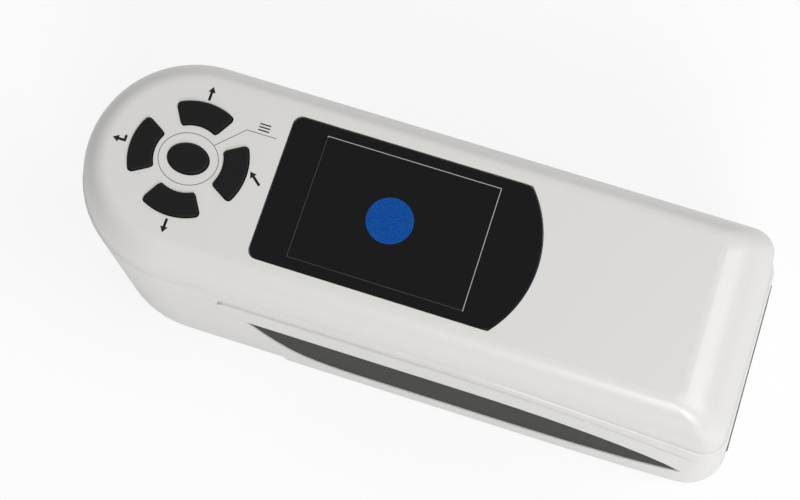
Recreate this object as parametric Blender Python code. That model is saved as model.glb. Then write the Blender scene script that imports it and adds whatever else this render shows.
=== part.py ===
# A handheld colorimeter: a white two-part housing with a half-round nose and a straight
# handle. Five keys and a display face up, and the measuring aperture faces down at the nose.
# The origin is under the middle of the housing, on the table it rests on. X runs from nose
# to tail, Z is up, and the near side is at -Y. All sizes are in metres.

import bpy
import bmesh
from math import asin, cos, pi, radians, sin, sqrt, tan
from mathutils import Vector

# The housing
BODY_LENGTH = 0.205
BODY_WIDTH = 0.067
BODY_HEIGHT = 0.080
KEY_PROUD = 0.0008
FOOT_RISE = 0.0010
PANEL_PROUD = 0.0006
WALL = 0.0024
TOP_WALL = 0.0030
WALL_LEAN = 0.0008
SEAM_STEP = 0.0009
LEDGE_ROUND = 0.0008
BASE_ROUND = 0.0020
TAIL_LEAN = radians(8.3)
TAIL_CORNER = 0.0125
COVER_CORNER = 0.0070
FLAT_CORNER = 0.0040
SHOULDER_DROP = 0.0128
SHOULDER_SIDE = 0.0085
SHOULDER_TAIL = 0.0140
SEAM_DROP = 0.0138
SEAM_DIP = 0.0148
DIP_LENGTH = 0.0835
DIP_POWER = 1.36

# Places of the nose's centre and of the tail's foot, from which the rest is set out
NOSE_RADIUS = BODY_WIDTH / 2 - PANEL_PROUD
NOSE_X = NOSE_RADIUS - BODY_LENGTH / 2
TAIL_X = BODY_LENGTH / 2

# Clearances
GAP = 0.0003
OVERRUN = 0.0020
BITE = 0.0006

# Side panels and grips. Leads are measured back from the nose's centre, and trails
# forward from the tail's foot
PANEL_THICK = 0.0016
PANEL_TOP_LEAD = 0.0167
PANEL_FOOT_LEAD = 0.0351
PANEL_TOP_DROP = 0.0193
PANEL_ARC_TRAIL = 0.0975
PANEL_ARC_END_TRAIL = 0.0013
PANEL_ARC_RADIUS = 0.2280
PANEL_CORNER = 0.0020
PANEL_WRAP = 0.0041
FADE_TRAIL = 0.0465
FADE_END_TRAIL = 0.0125
GRIP_SUNK = 0.0004
GRIP_LEAD = 0.0241
GRIP_TRAIL = 0.0140
GRIP_TOP_DROP = 0.0339
GRIP_LOW_DROP = 0.0655
GRIP_TAIL_DROP = 0.0571
GRIP_TOP_BEND_TRAIL = 0.0855
GRIP_LOW_LEAD = 0.0582
GRIP_LOW_TRAIL = 0.0742
GRIP_FRONT_REACH = (0.0106, 0.0250)
GRIP_LOW_REACH = 0.0199
GRIP_TAIL_REACH = (0.0185, 0.0219)
GRIP_LOW_TAIL_REACH = (0.0035, 0.0061)

# Display window, display and their bracket
WINDOW_START = 0.0244
WINDOW_LENGTH = 0.0680
WINDOW_MARGIN = 0.0119
WINDOW_BULGE = 0.0078
WINDOW_CORNER = 0.0026
WINDOW_THICK = 0.0015
WINDOW_SUNK = 0.0002
VIEW_START = 0.0335
VIEW_LENGTH = 0.0530
VIEW_BORDER = 0.0020
DISPLAY_START = 0.0246
DISPLAY_LENGTH = 0.0692
DISPLAY_BORDER = 0.0015
DISPLAY_THICK = 0.0034
GLASS_THICK = 0.0009
BRACKET_THICK = 0.0012
BRACKET_BORDER = 0.0022
BRACKET_EDGE = 0.0060
BRACKET_EAR = 0.0032
BRACKET_BOSS_BORDER = 0.0065
BRACKET_BOSS_LEAD = 0.0026
BOARD_POST = 0.0024
BOARD_POST_LENGTH = 0.0050
BOARD_POST_INSET = 0.0080
BOARD_POST_BORDER = 0.0040

# Keys, their mat and board
KEY_INNER = 0.0100
KEY_OUTER = 0.0167
KEY_HALF_ANGLE = radians(29.6)
KEY_CORNER = 0.0012
MENU_LONG = 0.0116
MENU_WIDE = 0.0086
KEY_TRAVEL = 0.0008
KEY_FLANGE = 0.0010
KEY_FLANGE_THICK = 0.0009
KEY_MAT_RADIUS = 0.0179
KEY_MAT_THICK = 0.0010
KEY_DOME_RADIUS = 0.0024
KEY_BOARD_RADIUS = 0.0220
KEY_BOSS_RADIUS = 0.0020
KEY_BOSS_CIRCLE = 0.0203
PCB = 0.0014

# Main board
MAIN_REACH = 0.0024
MAIN_BORDER = 0.0035
CHIP_HEIGHT = 0.0012
CHIP_SIZE = 0.0120
PLUG_HEIGHT = 0.0045
PLUG_LENGTH = 0.0160
PLUG_WIDTH = 0.0050
BUZZER_RADIUS = 0.0060
BUZZER_HEIGHT = 0.0050
BUZZER_PORT = 0.0010

# Screws and the posts that take them
SHELL_POST = 0.0040
SHELL_BOSS = 0.0032
SHELL_SCREW = 0.0014
SHELL_HEAD = 0.0026
SHELL_HEAD_HEIGHT = 0.0020
SHELL_SCREW_BITE = 0.0080
SHELL_SHELF = 0.0020
SHELL_POST_TOP = 0.0450
NOSE_POST_LEAD = 0.0196
NOSE_POST_MARGIN = 0.0089
TAIL_POST_TRAIL = 0.0185
TAIL_POST_MARGIN = 0.0079
SMALL_SCREW = 0.0010
SMALL_HEAD = 0.0018
SMALL_HEAD_HEIGHT = 0.0011
SMALL_SCREW_BITE = 0.0024

# Optical head
APERTURE_RADIUS = 0.0040
APERTURE_MOUTH = 0.0056
APERTURE_NECK = 0.0107
APERTURE_FLANGE = 0.0140
SPHERE_BORE = 0.0185
SPHERE_WALL = 0.0025
SPHERE_PORT = 0.0052
SPHERE_SEAT = 0.0100
SPHERE_FLANGE = 0.0265
SPHERE_FLANGE_THICK = 0.0020
SPHERE_SCREW_CIRCLE = 0.0238
SPHERE_POST = 0.0026
LAMP_SEAT = 0.0140
LAMP_BORE = 0.0073
LAMP_CHIP = 0.0018
TUBE_RADIUS = 0.0065
TUBE_BORE = 0.0046
TUBE_STOP = 0.0034
TUBE_LENGTH = 0.0150
LENS_DEPTH = 0.0050
LENS_THICK = 0.0026
LENS_CROWN = 0.0007
SENSOR_BOARD = 0.0260
SENSOR_CHIP = 0.0050

# Measuring button, on the far side of the nose
TRIGGER_LEAD = 0.0036
TRIGGER_DROP = 0.0272
TRIGGER_RADIUS = 0.0047
TRIGGER_PROUD = 0.0008
TRIGGER_TRAVEL = 0.0010
TRIGGER_FLANGE = 0.0013
TRIGGER_FLANGE_THICK = 0.0012
SWITCH_LENGTH = 0.0160
SWITCH_WIDTH = 0.0120
SWITCH_BODY = 0.0030
SWITCH_BODY_HEIGHT = 0.0034
SWITCH_STEM = 0.0018
SWITCH_STEM_HEIGHT = 0.0018
RIB_THICK = 0.0016
RIB_HIGH = 0.0120

# Tail plate, sockets and power switch, set out on the leaning tail face
PORT_Z = 0.0360
PLATE_WIDTH = 0.0460
PLATE_HIGH = 0.0240
PLATE_THICK = 0.0014
PLATE_PROUD = 0.0004
PLATE_RIM = 0.0020
USB_Y = 0.0010
USB_WIDTH = 0.0077
USB_HIGH = 0.0039
USB_DEPTH = 0.0092
USB_SHEET = 0.0004
USB_TONGUE = 0.0012
JACK_Y = 0.0140
JACK_SIZE = 0.0090
JACK_DEPTH = 0.0120
JACK_BORE = 0.0028
JACK_BORE_DEPTH = 0.0090
JACK_PIN = 0.0010
JACK_LIP = 0.0042
PORT_BOARD_LENGTH = 0.0140
ROCKER_Y = -0.0130
ROCKER_WIDTH = 0.0080
ROCKER_HIGH = 0.0124
ROCKER_TILT = radians(9)
ROCKER_SUNK = 0.0010
ROCKER_FACE = 0.0026
ROCKER_BACK = 0.0030
ROCKER_KEEL = 0.0040
ROCKER_HEEL = 0.0010
ROCKER_PIN = 0.0010
ROCKER_PIN_REACH = 0.0008
BEZEL_WIDTH = 0.0124
BEZEL_HIGH = 0.0176
BEZEL_THICK = 0.0006
SWITCH_WALL = 0.0011
SWITCH_DEPTH = 0.0100
SWITCH_TERMINAL = 0.0012
SWITCH_TERMINAL_LENGTH = 0.0050

# Battery bay, at the tail end of the base
BAY_TRAIL = 0.0111
COVER_WIDTH = 0.0380
COVER_THICK = 0.0020
COVER_LIP = 0.0010
COVER_TONGUE = 0.0015
COVER_RIB = 0.0004
COVER_RIB_WIDTH = 0.0012
COVER_RIB_PITCH = 0.0030
COVER_RIBS = 5
CELL_RADIUS = 0.0092
CELL_LENGTH = 0.0650
CELL_SPACING = 0.0190
CELL_NOSE_RADIUS = 0.0030
CELL_NOSE = 0.0008
HOLDER_WALL = 0.0012
BAY_MARGIN = 0.0020
CONTACT_THICK = 0.0004
CONTACT_SIZE = 0.0100
HOLDER_EAR_LENGTH = 0.0240
HOLDER_EAR_REACH = 0.0040
HOLDER_EAR_THICK = 0.0015

# Feet
FOOT_HALF = 0.0030
FOOT_MARGIN = 0.0074
FOOT_LEAD = 0.0496
FOOT_TRAIL = 0.0325

# Counts of facets
NOSE_STEPS = 28
CORNER_STEPS = 7
SIDE_STEPS = 9
SHOULDER_STEPS = 7
ROUND_STEPS = 3
ROUND = 24
SMALL_ROUND = 12
CURVE_STEPS = 10

# Heights and places that follow from the sizes above
TOP_Z = BODY_HEIGHT - KEY_PROUD
FLOOR_Z = FOOT_RISE + WALL
CEILING_Z = TOP_Z - TOP_WALL
SEAM_Z = TOP_Z - SEAM_DROP
KEY_FLANGE_Z = CEILING_Z - GAP - KEY_FLANGE_THICK
KEY_MAT_TOP = KEY_FLANGE_Z - KEY_TRAVEL - GAP
KEY_DOME_HEIGHT = KEY_TRAVEL
KEY_BOARD_TOP = KEY_MAT_TOP - KEY_DOME_HEIGHT - KEY_MAT_THICK - GAP
DISPLAY_TOP = CEILING_Z - GAP
DISPLAY_Z = DISPLAY_TOP - DISPLAY_THICK
BRACKET_TOP = DISPLAY_Z - GAP
WINDOW_WIDTH = 2 * (NOSE_RADIUS - WINDOW_MARGIN)
VIEW_WIDTH = WINDOW_WIDTH - 2 * VIEW_BORDER
DISPLAY_WIDTH = WINDOW_WIDTH + 2 * DISPLAY_BORDER
BRACKET_WIDTH = DISPLAY_WIDTH - 2 * BRACKET_BORDER
MAIN_LENGTH = DISPLAY_LENGTH + 2 * MAIN_REACH
MAIN_WIDTH = DISPLAY_WIDTH - 2 * MAIN_BORDER
BRACKET_X = NOSE_X + DISPLAY_START + DISPLAY_LENGTH / 2
MAIN_TOP = BRACKET_TOP - BRACKET_THICK - BOARD_POST_LENGTH - GAP
PANEL_DEPTH = PANEL_THICK - PANEL_PROUD
PANEL_END_Y = NOSE_RADIUS - TAIL_CORNER + PANEL_WRAP
BROAD_Z = FOOT_RISE + BASE_ROUND
APERTURE_TOP = FLOOR_Z + GAP
SPHERE_BASE = APERTURE_TOP + GAP
TRIGGER_X = NOSE_X + TRIGGER_LEAD
TRIGGER_Z = TOP_Z - TRIGGER_DROP
SPHERE_OUTER = SPHERE_BORE + SPHERE_WALL
SPHERE_Z = SPHERE_BASE + sqrt(SPHERE_OUTER ** 2 - SPHERE_SEAT ** 2)
LAMP_Z = SPHERE_Z + sqrt(SPHERE_OUTER ** 2 - LAMP_BORE ** 2)
TUBE_Z = LAMP_Z + GAP
SENSOR_Z = TUBE_Z + TUBE_LENGTH + GAP
CELL_Z = FOOT_RISE + COVER_THICK + GAP + CELL_RADIUS
HOLDER_LENGTH = CELL_LENGTH + 2 * (2 * GAP + CONTACT_THICK + HOLDER_WALL)
HOLDER_X = TAIL_X - BAY_TRAIL - HOLDER_LENGTH
COVER_START_X = HOLDER_X - BAY_MARGIN
CELL_X = HOLDER_X + HOLDER_LENGTH / 2


def look(name, colour, roughness, metallic=0.0, alpha=1.0):
    """Return a material of one colour and finish."""
    material = bpy.data.materials.new(name)
    material.use_nodes = True
    shader = material.node_tree.nodes["Principled BSDF"]
    shader.inputs["Base Color"].default_value = (*colour, 1)
    shader.inputs["Roughness"].default_value = roughness
    shader.inputs["Metallic"].default_value = metallic
    shader.inputs["Alpha"].default_value = alpha
    material.diffuse_color = (*colour, alpha)
    return material


def add(name, bm, material=None, parent=None, location=(0, 0, 0), rotation=(0, 0, 0)):
    """Turn a bmesh into an object of that name."""
    bmesh.ops.remove_doubles(bm, verts=bm.verts, dist=1e-7)
    bmesh.ops.recalc_face_normals(bm, faces=bm.faces)
    mesh = bpy.data.meshes.new(name)
    bm.to_mesh(mesh)
    bm.free()
    mesh.shade_smooth()
    mesh.set_sharp_from_angle(angle=radians(35))
    if material:
        mesh.materials.append(material)
    thing = bpy.data.objects.new(name, mesh)
    bpy.context.scene.collection.objects.link(thing)
    thing.parent = parent
    thing.location = location
    thing.rotation_euler = rotation
    return thing


def helper(name, bm, **place):
    """Add an object that only shapes others, and is no piece of the instrument."""
    thing = add(name, bm, **place)
    thing.hide_render = True
    thing.display_type = "WIRE"
    return thing


def shape(target, tool, operation="DIFFERENCE"):
    """Cut, join or intersect the target with a helper object."""
    step = target.modifiers.new(tool.name, "BOOLEAN")
    step.operation = operation
    step.object = tool


def arc(centre, radius, start, end, steps):
    """Points along a circular arc, both ends included."""
    angles = [start + (end - start) * i / steps for i in range(steps + 1)]
    return [(centre[0] + radius * cos(a), centre[1] + radius * sin(a)) for a in angles]


def bezier(p0, p1, p2, p3, steps=CURVE_STEPS):
    """Points along a cubic curve, without its last point."""
    points = []
    for i in range(steps):
        t = i / steps
        weights = ((1 - t) ** 3, 3 * t * (1 - t) ** 2, 3 * t * t * (1 - t), t ** 3)
        points.append(tuple(sum(w * p[k] for w, p in zip(weights, (p0, p1, p2, p3))) for k in (0, 1)))
    return points


def grow(points, distance):
    """Move a counter-clockwise outline outwards by a distance."""
    moved = []
    for i, point in enumerate(points):
        before, here, after = (Vector(points[j % len(points)]) for j in (i - 1, i, i + 1))
        first, second = (here - before).normalized(), (after - here).normalized()
        side = Vector((first.y + second.y, -first.x - second.x)).normalized()
        stretch = max(side.dot(Vector((first.y, -first.x))), 0.4)
        moved.append(tuple(here + side * (distance / stretch)))
    return moved


def fillet(points, radii, steps=ROUND_STEPS):
    """Round each corner of a straight-sided outline with its own radius."""
    rounded = []
    for i, point in enumerate(points):
        if not radii[i]:
            rounded.append(point)
            continue
        before, here, after = (Vector(points[j % len(points)]) for j in (i - 1, i, i + 1))
        back, on = (before - here).normalized(), (after - here).normalized()
        half = back.angle(on) / 2
        reach = radii[i] / tan(half)
        centre = here + (back + on).normalized() * (radii[i] / sin(half))
        start, end = here + back * reach - centre, here + on * reach - centre
        for j in range(steps + 1):
            turn = start.lerp(end, j / steps).normalized() * radii[i]
            rounded.append(tuple(centre + turn))
    return rounded


def rectangle(low, high):
    """The four corners of a rectangle, counter-clockwise."""
    return [(low[0], low[1]), (high[0], low[1]), (high[0], high[1]), (low[0], high[1])]


def skin(bm, rings):
    """Join rings of points into one closed skin, with a face over the first and the last."""
    loops = [[bm.verts.new(p) for p in ring] for ring in rings]
    for low, high in zip(loops, loops[1:]):
        for i in range(len(low)):
            j = (i + 1) % len(low)
            bm.faces.new((low[i], low[j], high[j], high[i]))
    bm.faces.new(loops[0][::-1])
    bm.faces.new(loops[-1])
    return bm


def prism(outline, low, high, bm=None, axis="Z"):
    """Extrude an outline along an axis. On axis Y the outline is given in X and Z."""
    place = {"Z": lambda p, h: (p[0], p[1], h), "Y": lambda p, h: (p[0], h, p[1]),
             "X": lambda p, h: (h, p[0], p[1])}[axis]
    return skin(bm or bmesh.new(), [[place(p, h) for p in outline] for h in (low, high)])


def box(low, high, bm=None):
    """A block between two opposite corners."""
    return prism(rectangle(low[:2], high[:2]), low[2], high[2], bm)


def disc(centre, radius, low, high, bm=None, steps=ROUND, axis="Z"):
    """A round bar along an axis, with its centre in the plane across that axis."""
    return prism(arc(centre, radius, 0, 2 * pi * (1 - 1 / steps), steps - 1), low, high, bm, axis)


def turned(profile, centre=(0, 0), bm=None, steps=ROUND):
    """Turn a closed profile of radius and height about an upright axis."""
    bm = bm or bmesh.new()
    rings = []
    for i in range(steps):
        c, s = cos(2 * pi * i / steps), sin(2 * pi * i / steps)
        rings.append([bm.verts.new((centre[0] + r * c, centre[1] + r * s, z)) for r, z in profile])
    for i in range(steps):
        near, far = rings[i], rings[(i + 1) % steps]
        for j in range(len(profile)):
            k = (j + 1) % len(profile)
            if profile[j][0] > 0 or profile[k][0] > 0:
                bm.faces.new((near[j], far[j], far[k], near[k]))
    bmesh.ops.remove_doubles(bm, verts=bm.verts, dist=1e-7)
    return bm


def side_half(z):
    """Half the width of the lower housing at a height."""
    return NOSE_RADIUS - WALL_LEAN * (z - BROAD_Z) / (SEAM_Z - BROAD_Z)


def tail_x(z):
    """Where the leaning tail face is at a height."""
    return TAIL_X - (z - BROAD_Z) * tan(TAIL_LEAN)


def seam_z(x):
    """Height of the joint between cover and housing, which dips towards the tail."""
    share = max(0, (x - TAIL_X + DIP_LENGTH) / DIP_LENGTH)
    return SEAM_Z - SEAM_DIP * share ** DIP_POWER


def tail_corner(z):
    """Radius of the tail's upright corners at a height: they sharpen from the base to the cover."""
    share = min(max((z - BROAD_Z) / (SEAM_Z - BROAD_Z), 0), 1)
    return TAIL_CORNER + (COVER_CORNER - TAIL_CORNER) * share


def plan(half, tail, corner):
    """Outline of the housing seen from above: round nose, straight sides, rounded tail."""
    points = arc((NOSE_X, 0), half, pi / 2, 3 * pi / 2, NOSE_STEPS)
    straight = [(tail - corner - NOSE_X) * i / SIDE_STEPS + NOSE_X for i in range(1, SIDE_STEPS)]
    points += [(x, -half) for x in straight]
    points += arc((tail - corner, corner - half), corner, -pi / 2, 0, CORNER_STEPS)
    points += arc((tail - corner, half - corner), corner, 0, pi / 2, CORNER_STEPS)
    points += [(x, half) for x in reversed(straight)]
    return points


def ring(height, inset, tail_inset=None, corner=None):
    """One level of the housing, set in from its outer wall. The height may follow X."""
    level = height if callable(height) else lambda x: height
    tail_z = level(TAIL_X)
    tail = tail_x(tail_z) - (inset if tail_inset is None else tail_inset)
    corner = tail_corner(tail_z) - inset if corner is None else corner
    half = side_half(level(NOSE_X)) - inset
    return [(x, y * (side_half(level(x)) - inset) / half, level(x)) for x, y in plan(half, tail, corner)]


def base_levels():
    """Heights and insets of the rounding along the bottom edge."""
    angles = [pi / 2 * i / ROUND_STEPS for i in range(ROUND_STEPS + 1)]
    return [(FOOT_RISE + BASE_ROUND * (1 - cos(a)), BASE_ROUND * (1 - sin(a))) for a in angles]


def hull(inset, proud=0, below=0):
    """The outside of the lower housing as a solid, set in, or proud of it but for the tail."""
    rings = []
    for z, rounding in [(FOOT_RISE - below, BASE_ROUND)] * bool(below) + base_levels() + [(SEAM_Z, 0)]:
        flush, raised = ring(z, inset + rounding), ring(z, inset + rounding - proud)
        level = []
        for near, far in zip(flush, raised):
            fade = (far[0] - TAIL_X + FADE_TRAIL) / (FADE_TRAIL - FADE_END_TRAIL)
            fade = min(max(fade, 0), 1) ** 2
            level.append(tuple(Vector(far).lerp(Vector(near), fade)))
        rings.append(level)
    return skin(bmesh.new(), rings)


def shoulder(depth, top):
    """Rings of the cover's rounded edge from its flat top down, some depth inside it."""
    rings = []
    drop = SHOULDER_DROP - (TOP_Z - top)
    side, tail = SHOULDER_SIDE - depth, SHOULDER_TAIL - depth
    edge_corner = COVER_CORNER - SEAM_STEP - depth
    for i in range(SHOULDER_STEPS + 1):
        a = pi / 2 * (1 - i / SHOULDER_STEPS)
        near = SEAM_STEP + depth
        corner = edge_corner + (FLAT_CORNER - edge_corner) * (1 - cos(a))
        rings.append(ring(top - drop * (1 - sin(a)), near + side * (1 - cos(a)),
                          near + tail * (1 - cos(a)), corner))
    return rings


def make_lower_housing(white):
    """The deep lower shell, open at the top, with a rounded rim that shows as a ledge."""
    rings = [ring(z, inset) for z, inset in base_levels()]
    for i in range(ROUND_STEPS + 1):
        a = pi / 2 * i / ROUND_STEPS
        drop = LEDGE_ROUND * (1 - sin(a))
        rings.append(ring(lambda x, d=drop: seam_z(x) - d, LEDGE_ROUND * (1 - cos(a))))
    rings += [ring(seam_z, WALL), ring(FLOOR_Z, WALL)]
    shell = add("lower_housing", skin(bmesh.new(), rings), white)

    posts = bmesh.new()
    for x, y in shell_posts():
        disc((x, y), SHELL_POST, FLOOR_Z - BITE, SHELL_POST_TOP, posts, SMALL_ROUND + 4)
    for x, y in sphere_screws():
        top = SPHERE_Z - SPHERE_FLANGE_THICK - 1.5 * GAP
        disc((x, y), SPHERE_POST, FLOOR_Z - BITE, top, posts, SMALL_ROUND)
    for side in (-1, 1):
        inner_x = TRIGGER_X + side * (SWITCH_LENGTH / 2 + GAP)
        outer_x = inner_x + side * RIB_THICK
        low = (min(inner_x, outer_x), switch_back() - GAP, TRIGGER_Z - RIB_HIGH / 2)
        high = (max(inner_x, outer_x), side_half(TRIGGER_Z) - WALL + BITE, TRIGGER_Z + RIB_HIGH / 2)
        box(low, high, posts)
    shape(shell, helper("lower_posts", posts), "UNION")

    core = helper("pocket_core", hull(PANEL_DEPTH + GAP, below=2 * OVERRUN))
    for side, word in ((-1, "near"), (1, "far")):
        reach = sorted((side * (PANEL_END_Y - GAP), side * BODY_WIDTH))
        pocket = helper("pocket_" + word, prism(grow(panel_outline(), GAP), *reach, axis="Y"))
        shape(pocket, core)
        shape(shell, pocket)

    wells = bmesh.new()
    for x, y in shell_posts():
        disc((x, y), SHELL_HEAD + GAP, FOOT_RISE - OVERRUN, SHELL_POST_TOP - SHELL_SHELF, wells, SMALL_ROUND)
    for x, y in sphere_screws():
        top = SPHERE_Z - SPHERE_FLANGE_THICK
        low = top - SPHERE_FLANGE_THICK - SMALL_SCREW_BITE - OVERRUN
        disc((x, y), SMALL_SCREW + GAP, low, top + OVERRUN, wells, SMALL_ROUND)
    disc((NOSE_X, 0), APERTURE_NECK + GAP, FOOT_RISE - OVERRUN, FLOOR_Z + OVERRUN, wells)
    disc((TRIGGER_X, TRIGGER_Z), TRIGGER_RADIUS + GAP, side_half(TRIGGER_Z) - WALL - OVERRUN,
         BODY_WIDTH, wells, axis="Y")
    shape(shell, helper("lower_wells", wells))

    shafts = bmesh.new()
    for x, y in shell_posts():
        low = SHELL_POST_TOP - SHELL_SHELF - OVERRUN
        disc((x, y), SHELL_SCREW + GAP, low, SHELL_POST_TOP + OVERRUN, shafts, SMALL_ROUND)
    shape(shell, helper("lower_shafts", shafts))

    end = TAIL_X + OVERRUN
    slot_half = COVER_WIDTH / 2 + GAP
    roof = FOOT_RISE + COVER_THICK + GAP
    slot = box((COVER_START_X, -slot_half, FOOT_RISE - OVERRUN), (end, slot_half, roof))
    shape(shell, helper("cover_slot", slot))
    rail_half = slot_half + COVER_TONGUE
    rail_z = FOOT_RISE + COVER_LIP - GAP
    rail = box((COVER_START_X, -rail_half, rail_z), (end, rail_half, roof))
    shape(shell, helper("cover_rail", rail))
    bay = box((COVER_START_X, -rail_half, rail_z), (tail_x(FLOOR_Z) - WALL + GAP, rail_half, FLOOR_Z + OVERRUN))
    shape(shell, helper("battery_bay", bay))
    return shell


def make_top_cover(white):
    """The white cover with a flat top, a soft shoulder and holes for keys and window."""
    def rim(x):
        return seam_z(x) + GAP

    rings = shoulder(0, TOP_Z) + [ring(rim, SEAM_STEP), ring(rim, SEAM_STEP + WALL)]
    rings += shoulder(WALL, CEILING_Z)[::-1]
    cover = add("top_cover", skin(bmesh.new(), rings), white)

    bosses = bmesh.new()
    for x, y in shell_posts():
        disc((x, y), SHELL_BOSS, SHELL_POST_TOP + GAP, TOP_Z, bosses, SMALL_ROUND)
    for x, y in bracket_screws():
        disc((x, y), KEY_BOSS_RADIUS, BRACKET_TOP + GAP, CEILING_Z + BITE, bosses, SMALL_ROUND)
    for x, y in key_board_screws():
        disc((x, y), KEY_BOSS_RADIUS, KEY_BOARD_TOP + GAP, CEILING_Z + BITE, bosses, SMALL_ROUND)
    bosses = helper("cover_bosses", bosses)
    rings = shoulder(WALL / 2, CEILING_Z + BITE) + [ring(FOOT_RISE, SEAM_STEP + WALL / 2)]
    shape(bosses, helper("boss_limit", skin(bmesh.new(), rings)), "INTERSECT")
    shape(cover, bosses, "UNION")

    pilots = bmesh.new()
    for x, y in shell_posts():
        top = SHELL_POST_TOP + SHELL_SCREW_BITE + GAP
        disc((x, y), SHELL_SCREW + GAP, SHELL_POST_TOP - OVERRUN, top, pilots, SMALL_ROUND)
    for x, y in bracket_screws():
        top = BRACKET_TOP + SMALL_SCREW_BITE + GAP
        disc((x, y), SMALL_SCREW + GAP, BRACKET_TOP - OVERRUN, top, pilots, SMALL_ROUND)
    for x, y in key_board_screws():
        top = KEY_BOARD_TOP + SMALL_SCREW_BITE + GAP
        disc((x, y), SMALL_SCREW + GAP, KEY_BOARD_TOP - OVERRUN, top, pilots, SMALL_ROUND)
    high = TOP_Z + OVERRUN
    for angle in key_angles():
        prism(arc_key(angle, GAP), CEILING_Z - OVERRUN, high, pilots)
    prism(menu_key(GAP), CEILING_Z - OVERRUN, high, pilots)
    seat = TOP_Z - WINDOW_SUNK - WINDOW_THICK - GAP
    prism(grow(window_outline(), GAP), seat, high, pilots)
    shape(cover, helper("cover_holes", pilots))

    low_x = NOSE_X + VIEW_START
    view = box((low_x, -VIEW_WIDTH / 2, CEILING_Z - OVERRUN),
               (low_x + VIEW_LENGTH, VIEW_WIDTH / 2, seat + OVERRUN / 2))
    shape(cover, helper("view_opening", view))
    return cover


def shell_posts():
    """Places of the four screws that hold cover and housing together."""
    nose = (NOSE_X + NOSE_POST_LEAD, NOSE_RADIUS - NOSE_POST_MARGIN)
    tail = (TAIL_X - TAIL_POST_TRAIL, NOSE_RADIUS - TAIL_POST_MARGIN)
    places = (nose, tail)
    return [(x, side * y) for x, y in places for side in (-1, 1)]


def sphere_screws():
    """Places of the three screws through the flange of the sphere."""
    return arc((NOSE_X, 0), SPHERE_SCREW_CIRCLE, pi / 3, 5 * pi / 3, 2)


def bracket_screws():
    """Places of the four screws of the display bracket."""
    reach, spread = DISPLAY_LENGTH / 2 + BRACKET_BOSS_LEAD, DISPLAY_WIDTH / 2 - BRACKET_BOSS_BORDER
    return [(BRACKET_X + a * reach, b * spread) for a in (-1, 1) for b in (-1, 1)]


def board_screws():
    """Places of the two screws of the main board, at opposite corners."""
    reach, spread = MAIN_LENGTH / 2 - BOARD_POST_INSET, MAIN_WIDTH / 2 - BOARD_POST_BORDER
    return [(BRACKET_X + a * reach, a * spread) for a in (-1, 1)]


def key_board_screws():
    """Places of the two screws of the key board, between the arc keys."""
    return arc((NOSE_X, 0), KEY_BOSS_CIRCLE, 3 * pi / 4, 7 * pi / 4, 1)


def screws(name, places, base, radius, length, head, head_height, metal, up=1):
    """Identical screws, each its own object. Their shanks point up, or down if up is -1."""
    first = None
    profile = [(0, -up * head_height), (head, -up * head_height), (head, 0), (radius, 0), (radius, up * length),
               (0, up * length)]
    for i, (x, y) in enumerate(places, 1):
        if first is None:
            first = add(f"{name}_{i}", turned(profile, steps=SMALL_ROUND), metal, location=(x, y, base))
            continue
        copy = bpy.data.objects.new(f"{name}_{i}", first.data)
        bpy.context.scene.collection.objects.link(copy)
        copy.location = (x, y, base)


def leaf():
    """Outline of the rubber grip seen from the side, in X and Z, counter-clockwise."""
    top, low = TOP_Z - GRIP_TOP_DROP, TOP_Z - GRIP_LOW_DROP
    front, tail = (NOSE_X + GRIP_LEAD, top), (TAIL_X - GRIP_TRAIL, TOP_Z - GRIP_TAIL_DROP)
    low_front, low_tail = (NOSE_X + GRIP_LOW_LEAD, low), (TAIL_X - GRIP_LOW_TRAIL, low)
    bend = (TAIL_X - GRIP_TOP_BEND_TRAIL, top)
    points = bezier(front, (front[0] + GRIP_FRONT_REACH[0], front[1] - GRIP_FRONT_REACH[1]),
                    (low_front[0] - GRIP_LOW_REACH, low), low_front)
    points += bezier(low_front, low_front, low_tail, low_tail, 2)
    points += bezier(low_tail, (low_tail[0] + GRIP_LOW_REACH, low),
                     (tail[0] - GRIP_LOW_TAIL_REACH[0], tail[1] - GRIP_LOW_TAIL_REACH[1]), tail)
    points += bezier(tail, (tail[0] - GRIP_TAIL_REACH[0], tail[1] + GRIP_TAIL_REACH[1]),
                     (bend[0] + GRIP_TAIL_REACH[0], top), bend)
    points.append(bend)
    return points


def panel_outline():
    """Outline of a side panel seen from the side, in X and Z, counter-clockwise."""
    top, foot = TOP_Z - PANEL_TOP_DROP, FOOT_RISE - OVERRUN
    centre = (TAIL_X - PANEL_ARC_TRAIL, top - PANEL_ARC_RADIUS)
    end = asin((PANEL_ARC_TRAIL - PANEL_ARC_END_TRAIL) / PANEL_ARC_RADIUS)
    curve = arc(centre, PANEL_ARC_RADIUS, pi / 2 - end, pi / 2, 2 * CURVE_STEPS)
    points = [(NOSE_X + PANEL_FOOT_LEAD, foot), (TAIL_X + OVERRUN, foot)] + curve
    return fillet(points + [(NOSE_X + PANEL_TOP_LEAD, top)], [0] * len(points) + [PANEL_CORNER])


def make_side_panel(name, side, white):
    """A side panel that wraps the tail corner, set into the wall and open for the grip."""
    panel = add(name, hull(0, PANEL_PROUD), white)
    reach = sorted((side * PANEL_END_Y, side * BODY_WIDTH))
    shape(panel, helper(name + "_outline", prism(panel_outline(), *reach, axis="Y")), "INTERSECT")
    shape(panel, helper(name + "_core", hull(PANEL_DEPTH, below=OVERRUN)))
    shape(panel, helper(name + "_window", prism(leaf(), *reach, axis="Y")))
    return panel


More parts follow.
